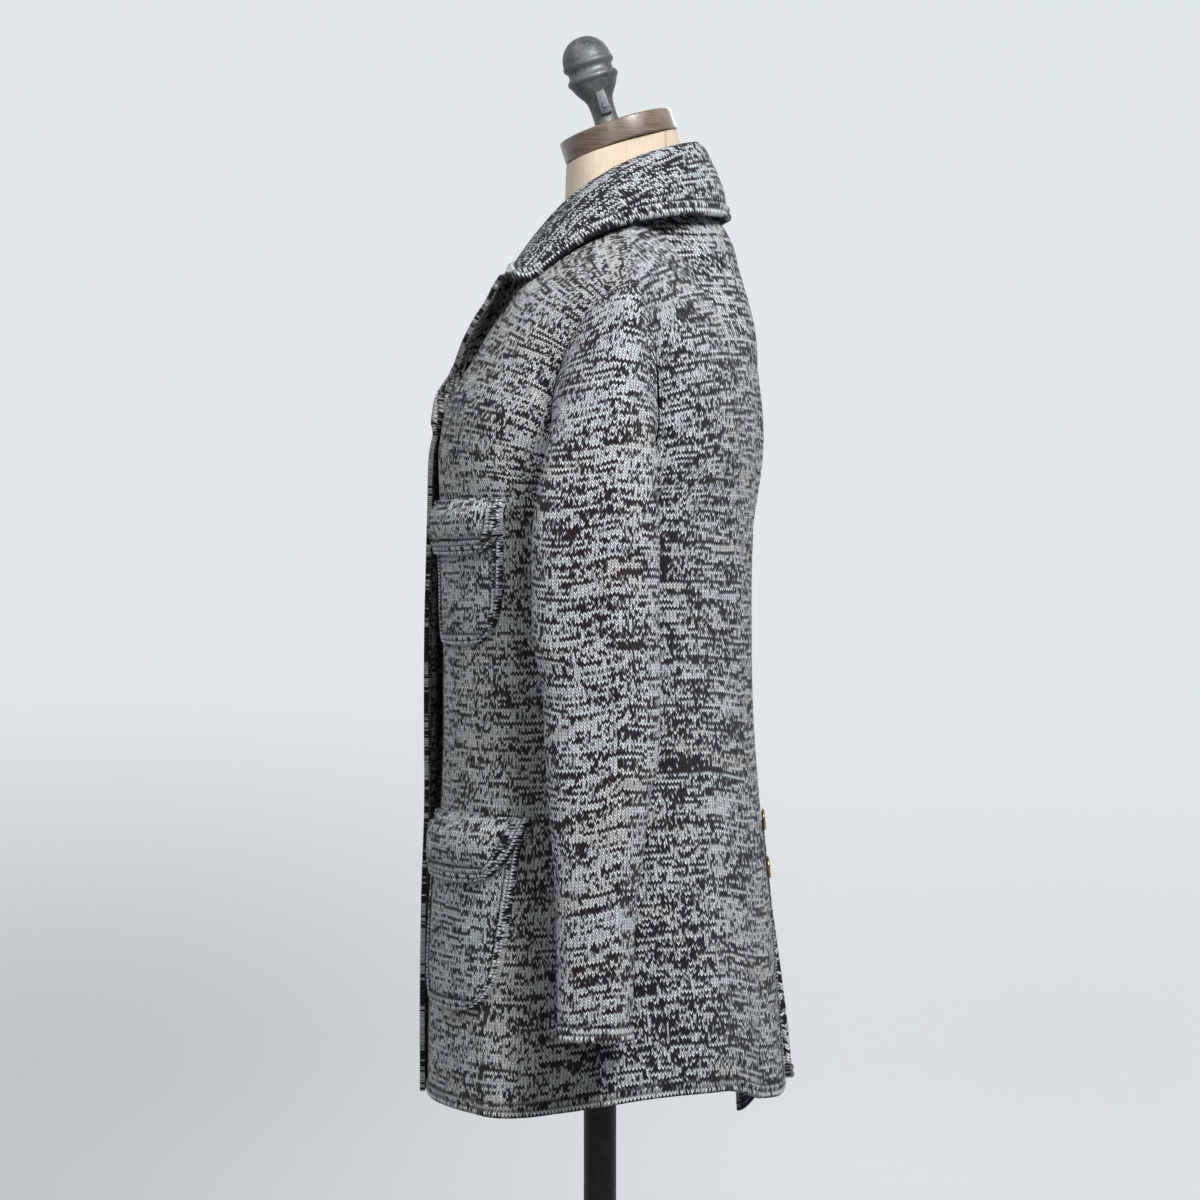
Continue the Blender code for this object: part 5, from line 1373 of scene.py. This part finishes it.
# Each piece has its own share of pale stitches: the pockets' and flaps' higher share is painted
# light, the collar's lower share painted shade.
front_knit = melange_knit("melange_front", EDGE_TRIM, GREY_PALE, WARM_PALE, BLUE_BLACK,
                          BROWN_BLACK, 0.56, edge_tone=0.42, painted_sleeve_shadow=0.52)
back_knit = melange_knit("melange_back", EDGE_TRIM, PALE, WARM_PALE, NAVY, BROWN_BLACK, 0.48)
sleeve_knit = melange_knit("melange_sleeve", HEM_TRIM, PALE, WARM_PALE, PLUM, BROWN_BLACK, 0.55)
collar_knit = melange_knit("melange_collar", COLLAR_TRIM, COOL_PALE, WARM_PALE, NAVY, BROWN_BLACK,
                           0.42, edge_tone=0.5)
pocket_knit = melange_knit("melange_pocket", POCKET_TRIM, COOL_PALE, WARM_PALE, BLUE_BLACK,
                           BROWN_BLACK, 0.62, edge_tone=0.8)
flap_knit = melange_knit("melange_flap", FLAP_TRIM, COOL_PALE, WARM_PALE, NAVY, BROWN_BLACK, 0.62,
                         3, edge_tone=0.8)
linen = linen_cover()
cap_wood = stained_wood()
pewter = cast_pewter()
iron = black_iron()
brass = old_brass()

# what each piece was knitted to: width, length and area in metres, how it is held, what bears it
SHEETS = {
    "front": (0.31, 0.78, 0.200, "hung", "form_torso"),
    "back_left": (0.29, 0.76, 0.190, "hung", "form_torso"),
    "back_right": (0.34, 0.76, 0.200, "hung", "form_torso"),
    "sleeve": (0.27, 0.62, 0.120, "hung", "front"),
    "chest_pocket": (0.13, 0.11, 0.0136, "laid", "front"),
    "hip_pocket": (0.15, 0.15, 0.0200, "laid", "front"),
    "chest_flap": (0.14, 0.05, 0.0062, "laid", "chest_pocket"),
    "hip_flap": (0.16, 0.06, 0.0080, "laid", "hip_pocket"),
    "collar": (0.54, 0.14, 0.0570, "folded", "front"),
}


def declare(node):
    """Look up the size that a knitted piece was cut to; nothing is done with it."""
    name, _, hand = node.rpartition("_")
    if node in SHEETS:
        name = node
    width, length, area, held, bearer = SHEETS[name]
    if bearer == "form_torso":
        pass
    elif node == "collar":
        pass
    else:
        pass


cloth = []
for side in (1, -1):
    cloth.append(dress(*front(side, side < 0), front_knit))
    cloth.append(dress(*back(side, side > 0), back_knit))
    dress(*sleeve(side), sleeve_knit)
    for row in POCKETS:
        dress(*pocket(row, side, side < 0), flap_knit if "flap" in row[0] else pocket_knit)
cloth.append(dress(*collar(), collar_knit))
dress(form_torso(cloth), "form_torso", linen)
for made in list(bpy.data.objects):
    if made.name.startswith("knit_"):
        declare(made.name.removeprefix("knit_"))

half_cap = NECK_CAP_THICKNESS / 2
cap_side = [(-half_cap, 0.0), (-half_cap, NECK_CAP_RADIUS - 0.006)]
for part in np.linspace(0.0, math.pi / 2, 6):
    cap_side.append((-half_cap + NECK_CAP_ROUNDING * (1 - math.cos(part)),
                     NECK_CAP_RADIUS - NECK_CAP_ROUNDING * (1 - math.sin(part))))
cap_side += [(-height, radius) for height, radius in cap_side[::-1]]
up = Vector((0, -math.sin(NECK_LEAN), math.cos(NECK_LEAN)))
forward = Vector((0, math.cos(NECK_LEAN), math.sin(NECK_LEAN)))
finial_seat = NECK_CAP_MIDDLE + up * (half_cap + SEAM) + forward * FINIAL_AT
dress(turned("neck_cap_waxed", cap_side, 96, NECK_CAP_MIDDLE, up), "neck_cap", cap_wood)
dress(turned("finial_pewter", ((0.0, 0.0),) + FINIAL, 64, finial_seat, up), "finial", pewter)


def finial_lug():
    """The cast lug on the finial's stem, with the head of its pin."""
    lug = bmesh.new()
    bmesh.ops.create_cube(lug, size=1.0)
    bmesh.ops.scale(lug, verts=lug.verts, vec=LUG_SIZE)
    bmesh.ops.scale(lug, verts=[vert for vert in lug.verts if vert.co.z > 0], vec=(0.9, 0.72, 1.0))
    bmesh.ops.bevel(lug, geom=lug.edges, offset=0.0013, offset_type="OFFSET", affect="EDGES",
                    segments=3, profile=0.5, material=-1)
    bmesh.ops.translate(lug, verts=lug.verts, vec=LUG_AT)
    pin = bmesh.ops.create_uvsphere(lug, u_segments=16, v_segments=8, radius=PIN_RADIUS)["verts"]
    bmesh.ops.scale(lug, verts=pin, vec=(0.6, 1.0, 1.0))
    bmesh.ops.translate(lug, verts=pin, vec=PIN_AT)
    stand_up(lug, finial_seat, up)
    made = keep_mesh("finial_lug", lug, 50)
    made.data.materials.append(pewter)
    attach(made, "root")


finial_lug()
pole_low = FOOT_THICKNESS + SEAM
pole_high = FORM[0][0] - SEAM
pole_side = ((pole_low, 0.0), (pole_low, POLE_RADIUS), (pole_high, POLE_RADIUS), (pole_high, 0.0))
dress(turned("pole_iron", pole_side, 48), "pole", iron)
dress(turned("foot_iron", FOOT_SIDE, 128), "foot", iron)


def seat(surface, course, wale):
    """Middle and outward direction of the flat place that a button covers on a panel."""
    corners = surface(course + BUTTON_RADIUS * np.array((0, 0, -1, 1)),
                      wale + BUTTON_RADIUS * np.array((-1, 1, 0, 0)))
    away = unit(np.cross(corners[1] - corners[0], corners[3] - corners[2]))
    return corners[:2].mean(axis=0), away


def brass_button(node, middle, away):
    """A turned brass button, facing away from the panel under it."""
    dress(turned("brass_" + node, BUTTON_SIDE, 40, middle, away, 60), node, brass)


for number, course in enumerate(FRONT_BUTTONS, 1):
    middle, away = seat(lambda c, w: front_surface(c, w, True), course, FRONT_BUTTON_WALE)
    brass_button(f"front_button_{number}", mirrored(middle + away * BUTTON_GAP, -1),
                 mirrored(away, -1))
for number, course in enumerate(VENT_BUTTONS, 1):
    middle, away = seat(lambda c, w: back_surface(c, w, "back_left"), course, VENT_BUTTON_WALE)
    brass_button(f"vent_button_{number}", middle - away * BUTTON_GAP, -away)

# ---------------------------------------------------------------- stage, light and camera
COVE_FLOOR = 4.0
COVE_CURVE = 2.5
COVE_HEIGHT = 5.5


def backdrop():
    """A round white studio cove: the floor runs up into the wall on a wide curve."""
    side_line = [(0.0, 0.0), (0.0, COVE_FLOOR)]
    side_line += [(COVE_CURVE * (1 - math.cos(part)), COVE_FLOOR + COVE_CURVE * math.sin(part))
                  for part in np.linspace(0, math.pi / 2, 14)[1:]]
    side_line += [(COVE_HEIGHT, COVE_FLOOR + COVE_CURVE)]
    made = turned("studio_cove", side_line, 96, sharp=80)
    made.data.flip_normals()
    paint = Dye("studio_cove", 0.9)
    x, y, z = paint.parts(paint.place())
    tint = paint.cloud(paint.place(), 0.25)
    colour = paint.blend(tint, (0.49, 0.50, 0.505), (0.51, 0.52, 0.525))
    colour = paint.blend(paint.between(x, -3.4, -1.6), colour, (0.36, 0.37, 0.375))
    # Painted light: the cove glows though it is no lamp, most on the far wall behind the form,
    # least near the camera, and less low on the floor towards -Y. The glow lights the cardigan like
    # a light tent.
    low = paint.between(z, -0.05, 1.0, 1.0, 0.0)
    left = paint.between(y, -1.2, 0.6, 0.50, 0.16)
    glow = paint.between(x, -4.5, 3.0, 0.56, 0.05) * low.times(left * -1.0, 1.0)
    paint.put(paint.shader, {"Emission Color": (0.93, 0.99, 1.0, 1), "Emission Strength": glow})
    made.data.materials.append(paint.finish(colour))
    paint.material.cycles.emission_sampling = "NONE"     # rays find it


def lamp(name, place, aim, size, power):
    """A soft square lamp turned towards a point."""
    light = bpy.data.objects.new(name, bpy.data.lights.new(name, "AREA"))
    bpy.context.scene.collection.objects.link(light)
    light.data.energy = power
    light.data.size = size
    light.location = place
    light.rotation_euler = (Vector(aim) - Vector(place)).to_track_quat("-Z", "Y").to_euler()


backdrop()
world = bpy.data.worlds.new("studio")
world.use_nodes = True
world.node_tree.nodes["Background"].inputs["Color"].default_value = (0.90, 0.96, 1.0, 1)
world.node_tree.nodes["Background"].inputs["Strength"].default_value = 0.17
bpy.context.scene.world = world

camera = bpy.data.objects.new("camera", bpy.data.cameras.new("camera"))
bpy.context.scene.collection.objects.link(camera)
camera.data.lens = 105
camera.data.sensor_width = 36
camera.data.clip_end = 60
camera.location = (3.0, 0.0, 1.059)
camera.rotation_euler = (math.pi / 2, 0, math.pi / 2)
bpy.context.scene.camera = camera

# name, place, aim, size in metres, watts
lamp("key", (1.80, 0.98, 2.80), (0, 0, 1.32), 0.7, 70)
lamp("top", (1.1, -1.0, 3.0), (0, 0, 1.2), 0.8, 12)
lamp("front", (4.0, -0.9, 2.3), (0, 0, 1.4), 0.6, 20)
lamp("far", (-2.8, 0.9, 2.6), (0, 0, 1.0), 1.2, 16)
bpy.context.scene.view_settings.view_transform = "Standard"
